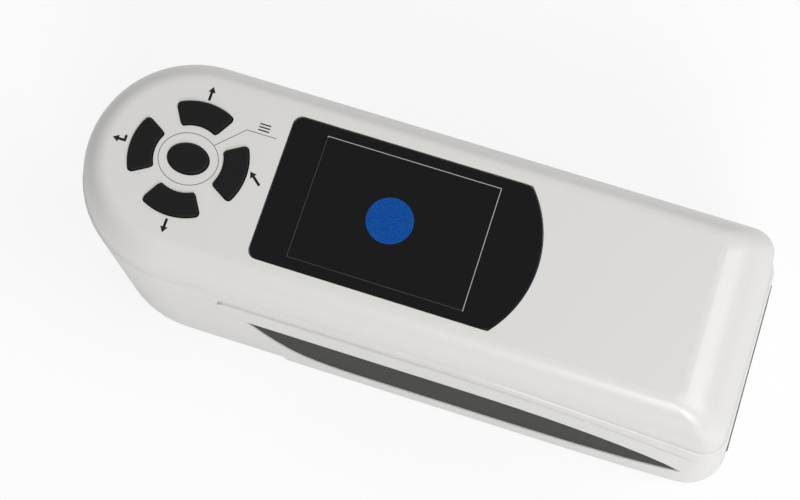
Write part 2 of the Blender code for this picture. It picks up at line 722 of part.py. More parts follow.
def make_grip(name, side, rubber):
    """A leaf of rubber in the side panel, with its face below the panel's."""
    grip = add(name, hull(GRIP_SUNK, PANEL_PROUD), rubber)
    reach = sorted((side * PANEL_END_Y, side * BODY_WIDTH))
    shape(grip, helper(name + "_leaf", prism(grow(leaf(), -GAP), *reach, axis="Y")), "INTERSECT")
    shape(grip, helper(name + "_core", hull(PANEL_DEPTH, below=OVERRUN)))
    return grip


def window_outline():
    """Outline of the display window: three straight sides and one that bulges to the tail."""
    low_x, half = NOSE_X + WINDOW_START, WINDOW_WIDTH / 2
    high_x = low_x + WINDOW_LENGTH
    radius = (half ** 2 + WINDOW_BULGE ** 2) / (2 * WINDOW_BULGE)
    end = asin(half / radius)
    bulge = arc((high_x + WINDOW_BULGE - radius, 0), radius, -end, end, CURVE_STEPS)
    points = [(low_x, -half)] + bulge + [(low_x, half)]
    radii = [WINDOW_CORNER, WINDOW_CORNER] + [0] * (len(bulge) - 2) + [WINDOW_CORNER, WINDOW_CORNER]
    return fillet(points, radii)


def make_display(black, glass, metal):
    """Window, display module and the bracket that holds the module up to the cover."""
    top = TOP_Z - WINDOW_SUNK
    add("display_window", prism(window_outline(), top - WINDOW_THICK, top), black)

    low_x = NOSE_X + DISPLAY_START
    half = DISPLAY_WIDTH / 2
    module = box((low_x, -half, DISPLAY_Z), (low_x + DISPLAY_LENGTH, half, DISPLAY_TOP))
    add("display_module", module, metal)

    pane_x = NOSE_X + VIEW_START + GAP
    pane_half = VIEW_WIDTH / 2 - GAP
    pane_top = DISPLAY_TOP + GAP + GLASS_THICK
    pane = box((pane_x, -pane_half, DISPLAY_TOP + GAP), (pane_x + VIEW_LENGTH - 2 * GAP, pane_half, pane_top))
    add("display_glass", pane, glass)

    reach = DISPLAY_LENGTH / 2
    edge = reach + DISPLAY_START - KEY_BOARD_RADIUS - 2 * GAP
    plate = box((BRACKET_X - edge, -BRACKET_WIDTH / 2, BRACKET_TOP - BRACKET_THICK),
                (BRACKET_X + reach + BRACKET_EDGE, BRACKET_WIDTH / 2, BRACKET_TOP))
    bracket = add("display_bracket", plate, metal)
    ears, holes = bmesh.new(), bmesh.new()
    low = BRACKET_TOP - BRACKET_THICK
    for x, y in bracket_screws():
        disc((x, y), BRACKET_EAR, low, BRACKET_TOP, ears, SMALL_ROUND)
        disc((x, y), SMALL_SCREW + GAP, low - OVERRUN, BRACKET_TOP + OVERRUN, holes, SMALL_ROUND)
    for x, y in board_screws():
        disc((x, y), BOARD_POST, low - BOARD_POST_LENGTH, low + BITE, ears, SMALL_ROUND)
        disc((x, y), SMALL_SCREW + GAP, low - BOARD_POST_LENGTH - OVERRUN, low - GAP, holes, SMALL_ROUND)
    shape(bracket, helper("bracket_ears", ears), "UNION")
    shape(bracket, helper("bracket_holes", holes))
    screws("bracket_screw", bracket_screws(), low - GAP, SMALL_SCREW, BRACKET_THICK + SMALL_SCREW_BITE,
           SMALL_HEAD, SMALL_HEAD_HEIGHT, metal)


def key_angles():
    """Directions of the four arc keys from the centre of the pad."""
    return [i * pi / 2 for i in range(4)]


def arc_key(angle, spare=0):
    """Outline of an arc key about the centre of the pad, grown by some spare room."""
    centre = (NOSE_X, 0)
    half = KEY_HALF_ANGLE
    inner = arc(centre, KEY_INNER, angle + half, angle - half, CURVE_STEPS // 2)
    outer = arc(centre, KEY_OUTER, angle - half, angle + half, CURVE_STEPS // 2)
    radii = [KEY_CORNER] + [0] * (len(inner) - 2) + [KEY_CORNER]
    points = fillet(inner + outer, radii + radii)
    return grow(points, spare) if spare else points


def menu_key(spare=0):
    """Outline of the oval centre key."""
    points = arc((0, 0), 1, 0, 2 * pi * (1 - 1 / ROUND), ROUND - 1)
    oval = [(NOSE_X + x * MENU_LONG / 2, y * MENU_WIDE / 2) for x, y in points]
    return grow(oval, spare) if spare else oval


def make_keys(black, rubber, board, metal):
    """Five keys with a flange below the cover, over one rubber mat and one board."""
    top = TOP_Z + KEY_PROUD
    neck = KEY_FLANGE_Z + KEY_FLANGE_THICK
    names = ("key_enter", "key_up", "key_back", "key_down")
    middle = (KEY_INNER + KEY_OUTER) / 2
    domes = [(NOSE_X, 0)]
    pads = [("key_menu", menu_key(), menu_key(KEY_FLANGE), (NOSE_X, 0))]
    for name, angle in zip(names, key_angles()):
        centre = (NOSE_X + middle * cos(angle), middle * sin(angle))
        domes.append(centre)
        pads.append((name, arc_key(angle), arc_key(angle, KEY_FLANGE), centre))
    for name, cap, flange, centre in pads:
        layers = ((flange, KEY_FLANGE_Z), (flange, neck), (cap, neck), (cap, top))
        rings = [[(x - centre[0], y - centre[1], z - top) for x, y in outline] for outline, z in layers]
        add(name, skin(bmesh.new(), rings), black, location=(*centre, top))

    low = KEY_MAT_TOP - KEY_DOME_HEIGHT - KEY_MAT_THICK
    mat = disc((NOSE_X, 0), KEY_MAT_RADIUS, low, low + KEY_MAT_THICK, steps=ROUND + 8)
    mat = add("key_mat", mat, rubber)
    bumps = bmesh.new()
    for place in domes:
        disc(place, KEY_DOME_RADIUS, low + KEY_MAT_THICK / 2, KEY_MAT_TOP, bumps, SMALL_ROUND)
    shape(mat, helper("mat_domes", bumps), "UNION")

    plate = disc((NOSE_X, 0), KEY_BOARD_RADIUS, KEY_BOARD_TOP - PCB, KEY_BOARD_TOP, steps=ROUND + 8)
    plate = add("key_board", plate, board)
    holes = bmesh.new()
    low = KEY_BOARD_TOP - PCB - OVERRUN
    for place in key_board_screws():
        disc(place, SMALL_SCREW + GAP, low, KEY_BOARD_TOP + OVERRUN, holes, SMALL_ROUND)
    shape(plate, helper("key_board_holes", holes))
    screws("key_board_screw", key_board_screws(), KEY_BOARD_TOP - PCB - GAP, SMALL_SCREW,
           PCB + SMALL_SCREW_BITE, SMALL_HEAD, SMALL_HEAD_HEIGHT, metal)


def make_main_board(board, black, metal):
    """Main board under the display bracket, with chips, a plug and a buzzer."""
    low = MAIN_TOP - PCB
    half_x, half_y = MAIN_LENGTH / 2, MAIN_WIDTH / 2
    plate = box((BRACKET_X - half_x, -half_y, low), (BRACKET_X + half_x, half_y, MAIN_TOP))
    plate = add("main_board", plate, board)
    parts = bmesh.new()
    for share in (-0.5, 0.0, 0.5):
        x = BRACKET_X + share * half_x
        reach = CHIP_SIZE / 2
        box((x - reach, -reach, MAIN_TOP - BITE), (x + reach, reach, MAIN_TOP + CHIP_HEIGHT), parts)
    plug_x = BRACKET_X - half_x / 2
    box((plug_x, -PLUG_WIDTH / 2, low - PLUG_HEIGHT), (plug_x + PLUG_LENGTH, PLUG_WIDTH / 2, low + BITE), parts)
    shape(plate, helper("main_board_parts", parts), "UNION")
    holes = bmesh.new()
    for place in board_screws():
        disc(place, SMALL_SCREW + GAP, low - OVERRUN, MAIN_TOP + OVERRUN, holes, SMALL_ROUND)
    shape(plate, helper("main_board_holes", holes))
    screws("main_board_screw", board_screws(), low - GAP, SMALL_SCREW, PCB + SMALL_SCREW_BITE,
           SMALL_HEAD, SMALL_HEAD_HEIGHT, metal)
    top = low - GAP
    profile = [(BUZZER_PORT, top - BUZZER_HEIGHT), (BUZZER_RADIUS, top - BUZZER_HEIGHT), (BUZZER_RADIUS, top),
               (0, top), (0, top - BUZZER_HEIGHT / 2), (BUZZER_PORT, top - BUZZER_HEIGHT / 2)]
    add("buzzer", turned(profile, (BRACKET_X + half_x / 2, 0)), black)


def bowl(direction, seat, seat_radius, port):
    """Profile of half the sphere, lower or upper, with a flange at its split and a port."""
    split = SPHERE_Z + direction * GAP / 2
    flange = split + direction * SPHERE_FLANGE_THICK
    tip = sqrt(SPHERE_OUTER ** 2 - (flange - SPHERE_Z) ** 2)

    def level(radius, z_radius):
        return SPHERE_Z + direction * sqrt(radius ** 2 - z_radius ** 2)

    points = [(SPHERE_BORE, split), (SPHERE_FLANGE, split), (SPHERE_FLANGE, flange), (tip, flange)]
    start, end = asin(tip / SPHERE_OUTER), asin(seat_radius / SPHERE_OUTER)
    for i in range(1, CURVE_STEPS // 2 + 1):
        radius = SPHERE_OUTER * sin(start + (end - start) * i * 2 / CURVE_STEPS)
        points.append((radius, level(SPHERE_OUTER, radius)))
    points += [(seat_radius, seat), (port, seat)]
    start, end = asin(port / SPHERE_BORE), pi / 2
    for i in range(CURVE_STEPS // 2 + 2):
        radius = SPHERE_BORE * sin(start + (end - start) * i * 2 / (CURVE_STEPS + 4))
        points.append((radius, level(SPHERE_BORE, radius)))
    return points


def make_optics(white, black, glass, board, metal):
    """Aperture ring, sphere, lamp ring, sensor tube, lens and sensor board, bottom to top."""
    centre = (NOSE_X, 0)
    flange_top = FOOT_RISE - GAP
    profile = [(APERTURE_RADIUS, 0), (APERTURE_FLANGE, 0), (APERTURE_FLANGE, flange_top),
               (APERTURE_NECK, flange_top), (APERTURE_NECK, APERTURE_TOP), (APERTURE_MOUTH, APERTURE_TOP),
               (APERTURE_RADIUS, FOOT_RISE)]
    add("aperture_ring", turned(profile, centre, steps=ROUND + 8), black)

    lower = bowl(-1, SPHERE_BASE, SPHERE_SEAT, SPHERE_PORT)
    upper = bowl(1, LAMP_Z, LAMP_SEAT, SPHERE_PORT)
    holes = bmesh.new()
    top = SPHERE_Z + SPHERE_FLANGE_THICK + GAP / 2
    low = SPHERE_Z - SPHERE_FLANGE_THICK - OVERRUN
    for place in sphere_screws():
        disc(place, SMALL_SCREW + GAP, low, top + OVERRUN, holes, SMALL_ROUND)
    holes = helper("sphere_holes", holes)
    for name, profile in (("sphere_lower", lower), ("sphere_upper", upper)):
        shape(add(name, turned(profile, centre), white), holes)

    screws("sphere_screw", sphere_screws(), top + GAP, SMALL_SCREW, 2 * SPHERE_FLANGE_THICK + SMALL_SCREW_BITE,
           SMALL_HEAD, SMALL_HEAD_HEIGHT, metal, -1)

    ring_z = LAMP_Z + GAP
    profile = [(LAMP_BORE, ring_z), (LAMP_SEAT, ring_z), (LAMP_SEAT, ring_z + PCB), (LAMP_BORE, ring_z + PCB)]
    lamps = add("lamp_ring", turned(profile, centre), board)
    chips = bmesh.new()
    middle = (LAMP_BORE + LAMP_SEAT) / 2
    for x, y in arc(centre, middle, 0, 7 * pi / 4, 7):
        half = LAMP_CHIP / 2
        box((x - half, y - half, ring_z + PCB / 2), (x + half, y + half, ring_z + PCB + LAMP_CHIP / 2), chips)
    shape(lamps, helper("lamp_chips", chips), "UNION")

    lens_z = TUBE_Z + LENS_DEPTH
    tube_top = TUBE_Z + TUBE_LENGTH
    profile = [(TUBE_STOP, TUBE_Z), (TUBE_RADIUS, TUBE_Z), (TUBE_RADIUS, tube_top), (TUBE_BORE, tube_top),
               (TUBE_BORE, lens_z), (TUBE_STOP, lens_z)]
    add("sensor_tube", turned(profile, centre), black)
    rim = TUBE_BORE - GAP
    low = lens_z + GAP + LENS_CROWN
    sag = [(0, low - LENS_CROWN / 2), (rim / 2, low - LENS_CROWN / 3), (rim, low)]
    crown = [(rim, low + LENS_THICK), (rim / 2, low + LENS_THICK + LENS_CROWN / 2),
             (0, low + LENS_THICK + LENS_CROWN)]
    add("sensor_lens", turned(sag + crown, centre, steps=SMALL_ROUND + 4), glass)

    half = SENSOR_BOARD / 2
    plate = box((NOSE_X - half, -half, SENSOR_Z), (NOSE_X + half, half, SENSOR_Z + PCB))
    plate = add("sensor_board", plate, board)
    half = SENSOR_CHIP / 2
    chip = box((NOSE_X - half, -half, SENSOR_Z + PCB / 2), (NOSE_X + half, half, SENSOR_Z + PCB + CHIP_HEIGHT))
    shape(plate, helper("sensor_chip", chip), "UNION")


def trigger_flange_back():
    """Y of the inner face of the measuring button."""
    return side_half(TRIGGER_Z) - WALL - GAP - TRIGGER_FLANGE_THICK


def switch_back():
    """Y of the inner face of the measuring button's switch board."""
    return trigger_flange_back() - TRIGGER_TRAVEL - GAP - SWITCH_STEM_HEIGHT - SWITCH_BODY_HEIGHT - PCB


def make_trigger(black, board):
    """Measuring button in the far wall of the nose, and the switch behind it."""
    back = trigger_flange_back()
    face = side_half(TRIGGER_Z) + TRIGGER_PROUD
    neck = back + TRIGGER_FLANGE_THICK
    profile = [(0, back - face), (TRIGGER_RADIUS + TRIGGER_FLANGE, back - face),
               (TRIGGER_RADIUS + TRIGGER_FLANGE, neck - face), (TRIGGER_RADIUS, neck - face),
               (TRIGGER_RADIUS, 0), (0, 0)]
    place = (TRIGGER_X, face, TRIGGER_Z)
    add("measure_button", turned(profile), black, location=place, rotation=(-pi / 2, 0, 0))

    start = switch_back()
    half_x, half_z = SWITCH_LENGTH / 2, SWITCH_WIDTH / 2
    plate = box((TRIGGER_X - half_x, start, TRIGGER_Z - half_z),
                (TRIGGER_X + half_x, start + PCB, TRIGGER_Z + half_z))
    switch = add("measure_switch", plate, board)
    parts = bmesh.new()
    body_end = start + PCB + SWITCH_BODY_HEIGHT
    disc((TRIGGER_X, TRIGGER_Z), SWITCH_BODY, start + PCB / 2, body_end, parts, SMALL_ROUND, "Y")
    shape(switch, helper("switch_case", parts), "UNION")
    stem = disc((TRIGGER_X, TRIGGER_Z), SWITCH_STEM, body_end - BITE, body_end + SWITCH_STEM_HEIGHT,
                steps=SMALL_ROUND, axis="Y")
    shape(switch, helper("switch_stem", stem), "UNION")


def make_tail(shell, black, metal, board, red):
    """Dark tail plate with two sockets and the power switch, on the leaning tail face."""
    frame = bpy.data.objects.new("tail_frame", None)
    bpy.context.scene.collection.objects.link(frame)
    frame.location = (tail_x(PORT_Z), 0, PORT_Z)
    frame.rotation_euler = (0, -TAIL_LEAN, 0)
    on_tail = {"parent": frame}
    half_y, half_z = PLATE_WIDTH / 2, PLATE_HIGH / 2
    back = PLATE_PROUD - PLATE_THICK

    def slab(grown, low_x, high_x, bm=None):
        return box((low_x, -half_y - grown, -half_z - grown), (high_x, half_y + grown, half_z + grown), bm)

    shape(shell, helper("tail_recess", slab(GAP, back - GAP, OVERRUN), **on_tail))
    shape(shell, helper("tail_opening", slab(-PLATE_RIM, -WALL - 2 * OVERRUN, 0), **on_tail))

    plate = add("tail_plate", slab(0, back, PLATE_PROUD), black, **on_tail)
    cuts = bmesh.new()
    usb_y, usb_z = USB_WIDTH / 2 + GAP, USB_HIGH / 2 + GAP
    usb_mid = (USB_HIGH - JACK_SIZE) / 2
    box((back - OVERRUN, USB_Y - usb_y, usb_mid - usb_z), (OVERRUN, USB_Y + usb_y, usb_mid + usb_z), cuts)
    disc((JACK_Y, 0), JACK_LIP + GAP, back - OVERRUN, OVERRUN, cuts, axis="X")
    case_y = ROCKER_WIDTH / 2 + GAP + SWITCH_WALL
    case_z = BEZEL_HIGH / 2 - SWITCH_WALL
    box((back - OVERRUN, ROCKER_Y - case_y - GAP, -case_z - GAP),
        (OVERRUN, ROCKER_Y + case_y + GAP, case_z + GAP), cuts)
    shape(plate, helper("plate_cuts", cuts, **on_tail))
    seat_y, seat_z = BEZEL_WIDTH / 2 + GAP, BEZEL_HIGH / 2 + GAP
    seat = box((PLATE_PROUD - BEZEL_THICK - GAP, ROCKER_Y - seat_y, -seat_z),
               (OVERRUN, ROCKER_Y + seat_y, seat_z))
    shape(plate, helper("bezel_seat", seat, **on_tail))

    half, sheet = USB_WIDTH / 2, USB_SHEET
    low_z, high_z = usb_mid - USB_HIGH / 2, usb_mid + USB_HIGH / 2
    usb = box((-USB_DEPTH, USB_Y - half, low_z), (PLATE_PROUD, USB_Y + half, high_z))
    usb = add("usb_socket", usb, metal, **on_tail)
    bore = box((sheet - USB_DEPTH, USB_Y - half + sheet, low_z + sheet),
               (OVERRUN, USB_Y + half - sheet, high_z - sheet))
    shape(usb, helper("usb_bore", bore, **on_tail))
    tongue = box((sheet / 2 - USB_DEPTH, USB_Y - half / 2, usb_mid - USB_TONGUE / 2),
                 (-sheet, USB_Y + half / 2, usb_mid + USB_TONGUE / 2))
    shape(usb, helper("usb_tongue", tongue, **on_tail), "UNION")

    half = JACK_SIZE / 2
    jack = box((back - GAP - JACK_DEPTH, JACK_Y - half, -half), (back - GAP, JACK_Y + half, half))
    jack = add("charge_socket", jack, black, **on_tail)
    lip = disc((JACK_Y, 0), JACK_LIP, back - GAP - BITE, PLATE_PROUD, axis="X")
    shape(jack, helper("jack_lip", lip, **on_tail), "UNION")
    bore = disc((JACK_Y, 0), JACK_BORE, -JACK_BORE_DEPTH, OVERRUN, axis="X")
    shape(jack, helper("jack_bore", bore, **on_tail))
    pin = disc((JACK_Y, 0), JACK_PIN, -JACK_BORE_DEPTH - BITE, -GAP, steps=SMALL_ROUND, axis="X")
    shape(jack, helper("jack_pin", pin, **on_tail), "UNION")

    low_y, high_y = USB_Y - USB_WIDTH / 2, JACK_Y + JACK_SIZE / 2
    board_top = -JACK_SIZE / 2 - GAP
    low_x = back - GAP - JACK_DEPTH
    plate = box((low_x, low_y, board_top - PCB), (low_x + PORT_BOARD_LENGTH - WALL, high_y, board_top))
    add("port_board", plate, board, **on_tail)
    make_power_switch(on_tail, black, red)


def make_power_switch(on_tail, black, red):
    """Rocker switch: a case with a bezel, and a rocker on a pin across it."""
    case_y = ROCKER_WIDTH / 2 + GAP + SWITCH_WALL
    case_z = BEZEL_HIGH / 2 - SWITCH_WALL
    bezel_x = PLATE_PROUD - BEZEL_THICK
    case = box((bezel_x - SWITCH_DEPTH, ROCKER_Y - case_y, -case_z),
               (bezel_x + BEZEL_THICK / 2, ROCKER_Y + case_y, case_z))
    case = add("power_switch", case, black, **on_tail)
    bezel = box((bezel_x, ROCKER_Y - BEZEL_WIDTH / 2, -BEZEL_HIGH / 2),
                (bezel_x + BEZEL_THICK, ROCKER_Y + BEZEL_WIDTH / 2, BEZEL_HIGH / 2))
    shape(case, helper("switch_bezel", bezel, **on_tail), "UNION")

    pivot_x = PLATE_PROUD - ROCKER_SUNK - ROCKER_FACE - ROCKER_HIGH / 2 * tan(ROCKER_TILT)
    half_high = ROCKER_HIGH / 2
    front_x = ROCKER_FACE + half_high * tan(ROCKER_TILT)
    swing = sqrt(half_high ** 2 + front_x ** 2)
    room_y = ROCKER_WIDTH / 2 + GAP
    room_z = min(swing, half_high / cos(ROCKER_TILT) + front_x * sin(ROCKER_TILT)) + GAP
    room_x = pivot_x - sqrt(ROCKER_BACK ** 2 + (ROCKER_KEEL / 2) ** 2) - half_high * sin(ROCKER_TILT)
    room = box((room_x, ROCKER_Y - room_y, -room_z), (bezel_x + OVERRUN, ROCKER_Y + room_y, room_z))
    shape(case, helper("switch_room", room, **on_tail))
    reach = room_y + ROCKER_PIN_REACH
    bearing = disc((pivot_x, 0), ROCKER_PIN + GAP, ROCKER_Y - reach, ROCKER_Y + reach,
                   steps=SMALL_ROUND, axis="Y")
    shape(case, helper("switch_bearing", bearing, **on_tail))
    tags = bmesh.new()
    for z in (-case_z / 2, case_z / 2):
        half = SWITCH_TERMINAL / 2
        box((bezel_x - SWITCH_DEPTH - SWITCH_TERMINAL_LENGTH, ROCKER_Y - 2 * half, z - half),
            (bezel_x - SWITCH_DEPTH + BITE, ROCKER_Y + 2 * half, z + half), tags)
    shape(case, helper("switch_tags", tags, **on_tail), "UNION")

    outline = [(ROCKER_FACE, 0), (front_x, half_high), (-ROCKER_HEEL, half_high),
               (-ROCKER_BACK, ROCKER_KEEL / 2), (-ROCKER_BACK, -ROCKER_KEEL / 2),
               (-ROCKER_HEEL, -half_high), (front_x, -half_high)]
    half = ROCKER_WIDTH / 2
    pose = {"location": (pivot_x, ROCKER_Y, 0), "rotation": (0, ROCKER_TILT, 0), **on_tail}
    rocker = add("power_rocker", prism(outline, -half, half, axis="Y"), red, **pose)
    reach = half + ROCKER_PIN_REACH
    pin = disc((0, 0), ROCKER_PIN, -reach, reach, steps=SMALL_ROUND, axis="Y")
    shape(rocker, helper("rocker_pin", pin, **pose), "UNION")


def make_battery(white, black, metal, blue):
    """Sliding cover in the base, two cells above it, their holder and contacts."""
    end = TAIL_X + OVERRUN
    half = COVER_WIDTH / 2
    cover = box((COVER_START_X + GAP, -half, FOOT_RISE), (end, half, FOOT_RISE + COVER_THICK))
    cover = add("battery_cover", cover, white)
    tongue = half + COVER_TONGUE
    tongues = box((COVER_START_X + GAP, -tongue, FOOT_RISE + COVER_LIP), (end, tongue, FOOT_RISE + COVER_THICK))
    shape(cover, helper("cover_tongues", tongues), "UNION")
    shape(cover, helper("cover_trim", hull(0)), "INTERSECT")
    ribs = bmesh.new()
    for i in range(COVER_RIBS):
        x = TAIL_X - TAIL_POST_TRAIL - i * COVER_RIB_PITCH
        box((x, -half / 2, FOOT_RISE - COVER_RIB), (x + COVER_RIB_WIDTH, half / 2, FOOT_RISE + BITE), ribs)
    shape(cover, helper("cover_ribs", ribs), "UNION")

    reach = CELL_LENGTH / 2
    profile = [(0, -reach), (CELL_RADIUS, -reach), (CELL_RADIUS, reach - CELL_NOSE),
               (CELL_NOSE_RADIUS, reach - CELL_NOSE), (CELL_NOSE_RADIUS, reach), (0, reach)]
    for side, word in ((-1, "near"), (1, "far")):
        place = (CELL_X, side * CELL_SPACING / 2, CELL_Z)
        add("battery_cell_" + word, turned(profile), blue, location=place, rotation=(0, side * pi / 2, 0))

    low_x, high_x = HOLDER_X, HOLDER_X + HOLDER_LENGTH
    half_y = CELL_SPACING / 2 + CELL_RADIUS + GAP + HOLDER_WALL
    top = CELL_Z + CELL_RADIUS + GAP + HOLDER_WALL
    base = FLOOR_Z + GAP
    holder = add("battery_holder", box((low_x, -half_y, base), (high_x, half_y, top)), black)
    ear_half, ear_y = HOLDER_EAR_LENGTH / 2, COVER_WIDTH / 2 + GAP + COVER_TONGUE + HOLDER_EAR_REACH
    ears = box((CELL_X - ear_half, -ear_y, base), (CELL_X + ear_half, ear_y, base + HOLDER_EAR_THICK))
    shape(holder, helper("holder_ears", ears), "UNION")
    room = box((low_x + HOLDER_WALL, HOLDER_WALL - half_y, base - OVERRUN),
               (high_x - HOLDER_WALL, half_y - HOLDER_WALL, top - HOLDER_WALL))
    shape(holder, helper("holder_room", room))

    reach, spread = CONTACT_SIZE / 2, CELL_SPACING / 2
    inner_x, outer_x = low_x + HOLDER_WALL + GAP, high_x - HOLDER_WALL - GAP - CONTACT_THICK
    strips = (("contact_bridge", inner_x, -spread, spread), ("contact_near", outer_x, -spread, -spread),
              ("contact_far", outer_x, spread, spread))
    for name, x, low_y, high_y in strips:
        plate = box((x, low_y - reach, CELL_Z - reach), (x + CONTACT_THICK, high_y + reach, CELL_Z + reach))
        add(name, plate, metal)


def make_feet(rubber):
    """Two rubber strips under the handle."""
    for side, word in ((-1, "near"), (1, "far")):
        y = side * (NOSE_RADIUS - FOOT_MARGIN)
        outline = arc((NOSE_X + FOOT_LEAD, y), FOOT_HALF, pi / 2, 3 * pi / 2, SMALL_ROUND // 2)
        outline += arc((TAIL_X - FOOT_TRAIL, y), FOOT_HALF, -pi / 2, pi / 2, SMALL_ROUND // 2)
        add("foot_strip_" + word, prism(outline, 0, FOOT_RISE - GAP), rubber)


def main():
    """Clear the scene and build every piece of the instrument."""
    for thing in list(bpy.data.objects):
        bpy.data.objects.remove(thing, do_unlink=True)
    white = look("white_plastic", (0.78, 0.78, 0.76), 0.35)
    inner_white = look("diffuse_white", (0.86, 0.86, 0.84), 0.7)
    black = look("black_plastic", (0.018, 0.018, 0.018), 0.4)
    window = look("window_black", (0.012, 0.012, 0.013), 0.08)
    rubber = look("dark_rubber", (0.055, 0.056, 0.05), 0.75)
    steel = look("steel", (0.6, 0.6, 0.62), 0.3, 1.0)
    board = look("board_green", (0.02, 0.15, 0.06), 0.5)
    glass = look("clear_glass", (0.8, 0.85, 0.9), 0.05, 0.0, 0.4)
    blue = look("cell_blue", (0.05, 0.12, 0.4), 0.35)
    red = look("rocker_black", (0.03, 0.03, 0.03), 0.35)

    shell = make_lower_housing(white)
    make_top_cover(white)
    for side, word in ((-1, "near"), (1, "far")):
        make_side_panel("side_panel_" + word, side, white)
        make_grip("grip_" + word, side, rubber)
    make_display(window, glass, steel)
    make_keys(black, rubber, board, steel)
    make_main_board(board, black, steel)
    make_optics(inner_white, black, glass, board, steel)
    make_trigger(black, board)
    make_tail(shell, black, steel, board, red)
    make_battery(white, black, steel, blue)
    make_feet(rubber)
    screws("shell_screw", shell_posts(), SHELL_POST_TOP - SHELL_SHELF - GAP, SHELL_SCREW,
           SHELL_SHELF + SHELL_SCREW_BITE, SHELL_HEAD, SHELL_HEAD_HEIGHT, steel)


main()
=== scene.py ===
import bmesh
import bpy
from math import cos, pi, radians, sin, tan
from mathutils import Matrix, Vector


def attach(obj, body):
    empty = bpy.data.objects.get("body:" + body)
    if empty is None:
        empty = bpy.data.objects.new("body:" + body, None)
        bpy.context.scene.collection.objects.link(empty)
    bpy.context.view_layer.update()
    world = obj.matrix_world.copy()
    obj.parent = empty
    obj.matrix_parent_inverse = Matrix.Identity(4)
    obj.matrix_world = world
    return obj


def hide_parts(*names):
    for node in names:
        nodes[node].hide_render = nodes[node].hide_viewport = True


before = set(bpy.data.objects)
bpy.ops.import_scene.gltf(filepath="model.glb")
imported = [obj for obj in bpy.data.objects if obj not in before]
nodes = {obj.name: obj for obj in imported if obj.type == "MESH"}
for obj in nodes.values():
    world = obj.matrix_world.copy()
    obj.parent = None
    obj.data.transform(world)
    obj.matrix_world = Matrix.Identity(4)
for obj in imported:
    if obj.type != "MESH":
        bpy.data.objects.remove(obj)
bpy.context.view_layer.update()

# where the photograph was taken from
shot = {
    "place": (0.0328, -0.1080, 0.5031),
    "right": (0.9518, 0.3063, -0.0144),
    "up": (-0.2935, 0.9235, 0.2470),
    "back": (0.0890, -0.2309, 0.9689),
    "lens": 72.74,
    "sensor": 36,
    "clipStart": 0.01,
    "clipEnd": 60,
}


def setCamera():
    data = bpy.data.cameras.new("camera")
    data.sensor_fit = "HORIZONTAL"
    data.sensor_width = shot["sensor"]
    data.lens = shot["lens"]
    data.clip_start, data.clip_end = shot["clipStart"], shot["clipEnd"]
    camera = bpy.data.objects.new("camera", data)
    bpy.context.scene.collection.objects.link(camera)
    turn = Matrix((shot["right"], shot["up"], shot["back"])).transposed().to_4x4()
    camera.matrix_world = Matrix.Translation(shot["place"]) @ turn
    bpy.context.scene.camera = camera


# the body's own sizes, which the pieces below share
body = {
    "noseX": -0.0696,
    "noseRadius": 0.0329,
    "tailX": 0.1025,
    "tailLean": radians(8.3),
    "tailCorner": 0.0125,
    "coverCorner": 0.0070,
    "broadZ": 0.003,
    "topZ": 0.0792,
    "seamZ": 0.0654,
    "seamDip": 0.0148,
    "dipLength": 0.0835,
    "dipPower": 1.36,
    "sideLean": 0.0008,
    "gap": 0.0003,
    "seamGap": 0.00004,
}

# how near two places have to be to count as one
close = {
    "loose": 0.00001,
    "node": 0.000002,
    "tight": 0.000001,
    "digits": 6,
}


def tailAt(z):
    return body["tailX"] - (z - body["broadZ"]) * tan(body["tailLean"])


def cornerAt(z):
    # the tail's upright corners sharpen from the base up to the seam
    share = min(max((z - body["broadZ"]) / (body["seamZ"] - body["broadZ"]), 0), 1)
    return body["tailCorner"] + (body["coverCorner"] - body["tailCorner"]) * share


def halfAt(z):
    return body["noseRadius"] - body["sideLean"] * (z - body["broadZ"]) / (body["seamZ"] - body["broadZ"])


def seamAt(x):
    share = max(0, (x - body["tailX"] + body["dipLength"]) / body["dipLength"])
    return body["seamZ"] - body["seamDip"] * share ** body["dipPower"]


# small tools for working in edit mode
def leaveEdit():
    if bpy.context.object and bpy.context.object.mode != "OBJECT":
        bpy.ops.object.mode_set(mode="OBJECT")


def only(piece):
    leaveEdit()
    bpy.ops.object.select_all(action="DESELECT")
    piece.select_set(True)
    bpy.context.view_layer.objects.active = piece


def edit(piece):
    only(piece)
    bpy.ops.object.mode_set(mode="EDIT")
    bpy.ops.mesh.select_all(action="SELECT")


def pick(kind, test):
    # selects what passes the test, which gets its centre and the thing itself
    bpy.ops.mesh.select_mode(type=kind)
    bpy.ops.mesh.select_all(action="DESELECT")
    data = bpy.context.object.data
    mesh = bmesh.from_edit_mesh(data)
    if kind == "VERT":
        chosen = [v for v in mesh.verts if test(v.co, v)]
    elif kind == "EDGE":
        chosen = [e for e in mesh.edges if test((e.verts[0].co + e.verts[1].co) / 2, e)]
    else:
        chosen = [f for f in mesh.faces if test(f.calc_center_median(), f)]
    for item in chosen:
        item.select_set(True)
    if kind == "VERT":
        mesh.select_flush(True)
    else:
        mesh.select_flush_mode()
    bmesh.update_edit_mesh(data)


makers = {
    "plane": (bpy.ops.mesh.primitive_plane_add, "size"),
    "cube": (bpy.ops.mesh.primitive_cube_add, "size"),
    "circle": (bpy.ops.mesh.primitive_circle_add, "radius"),
    "cylinder": (bpy.ops.mesh.primitive_cylinder_add, "radius"),
}


def start(kind, name, centre, size, **settings):
    # a primitive at its place and size, with both in its mesh
    leaveEdit()
    bpy.ops.object.select_all(action="DESELECT")
    maker, measure = makers[kind]
    maker(location=centre, **{measure: 1}, **settings)
    piece = bpy.context.object
    piece.name = piece.data.name = name
    piece.scale = size
    bpy.ops.object.transform_apply(location=True, rotation=True, scale=True)
    return piece


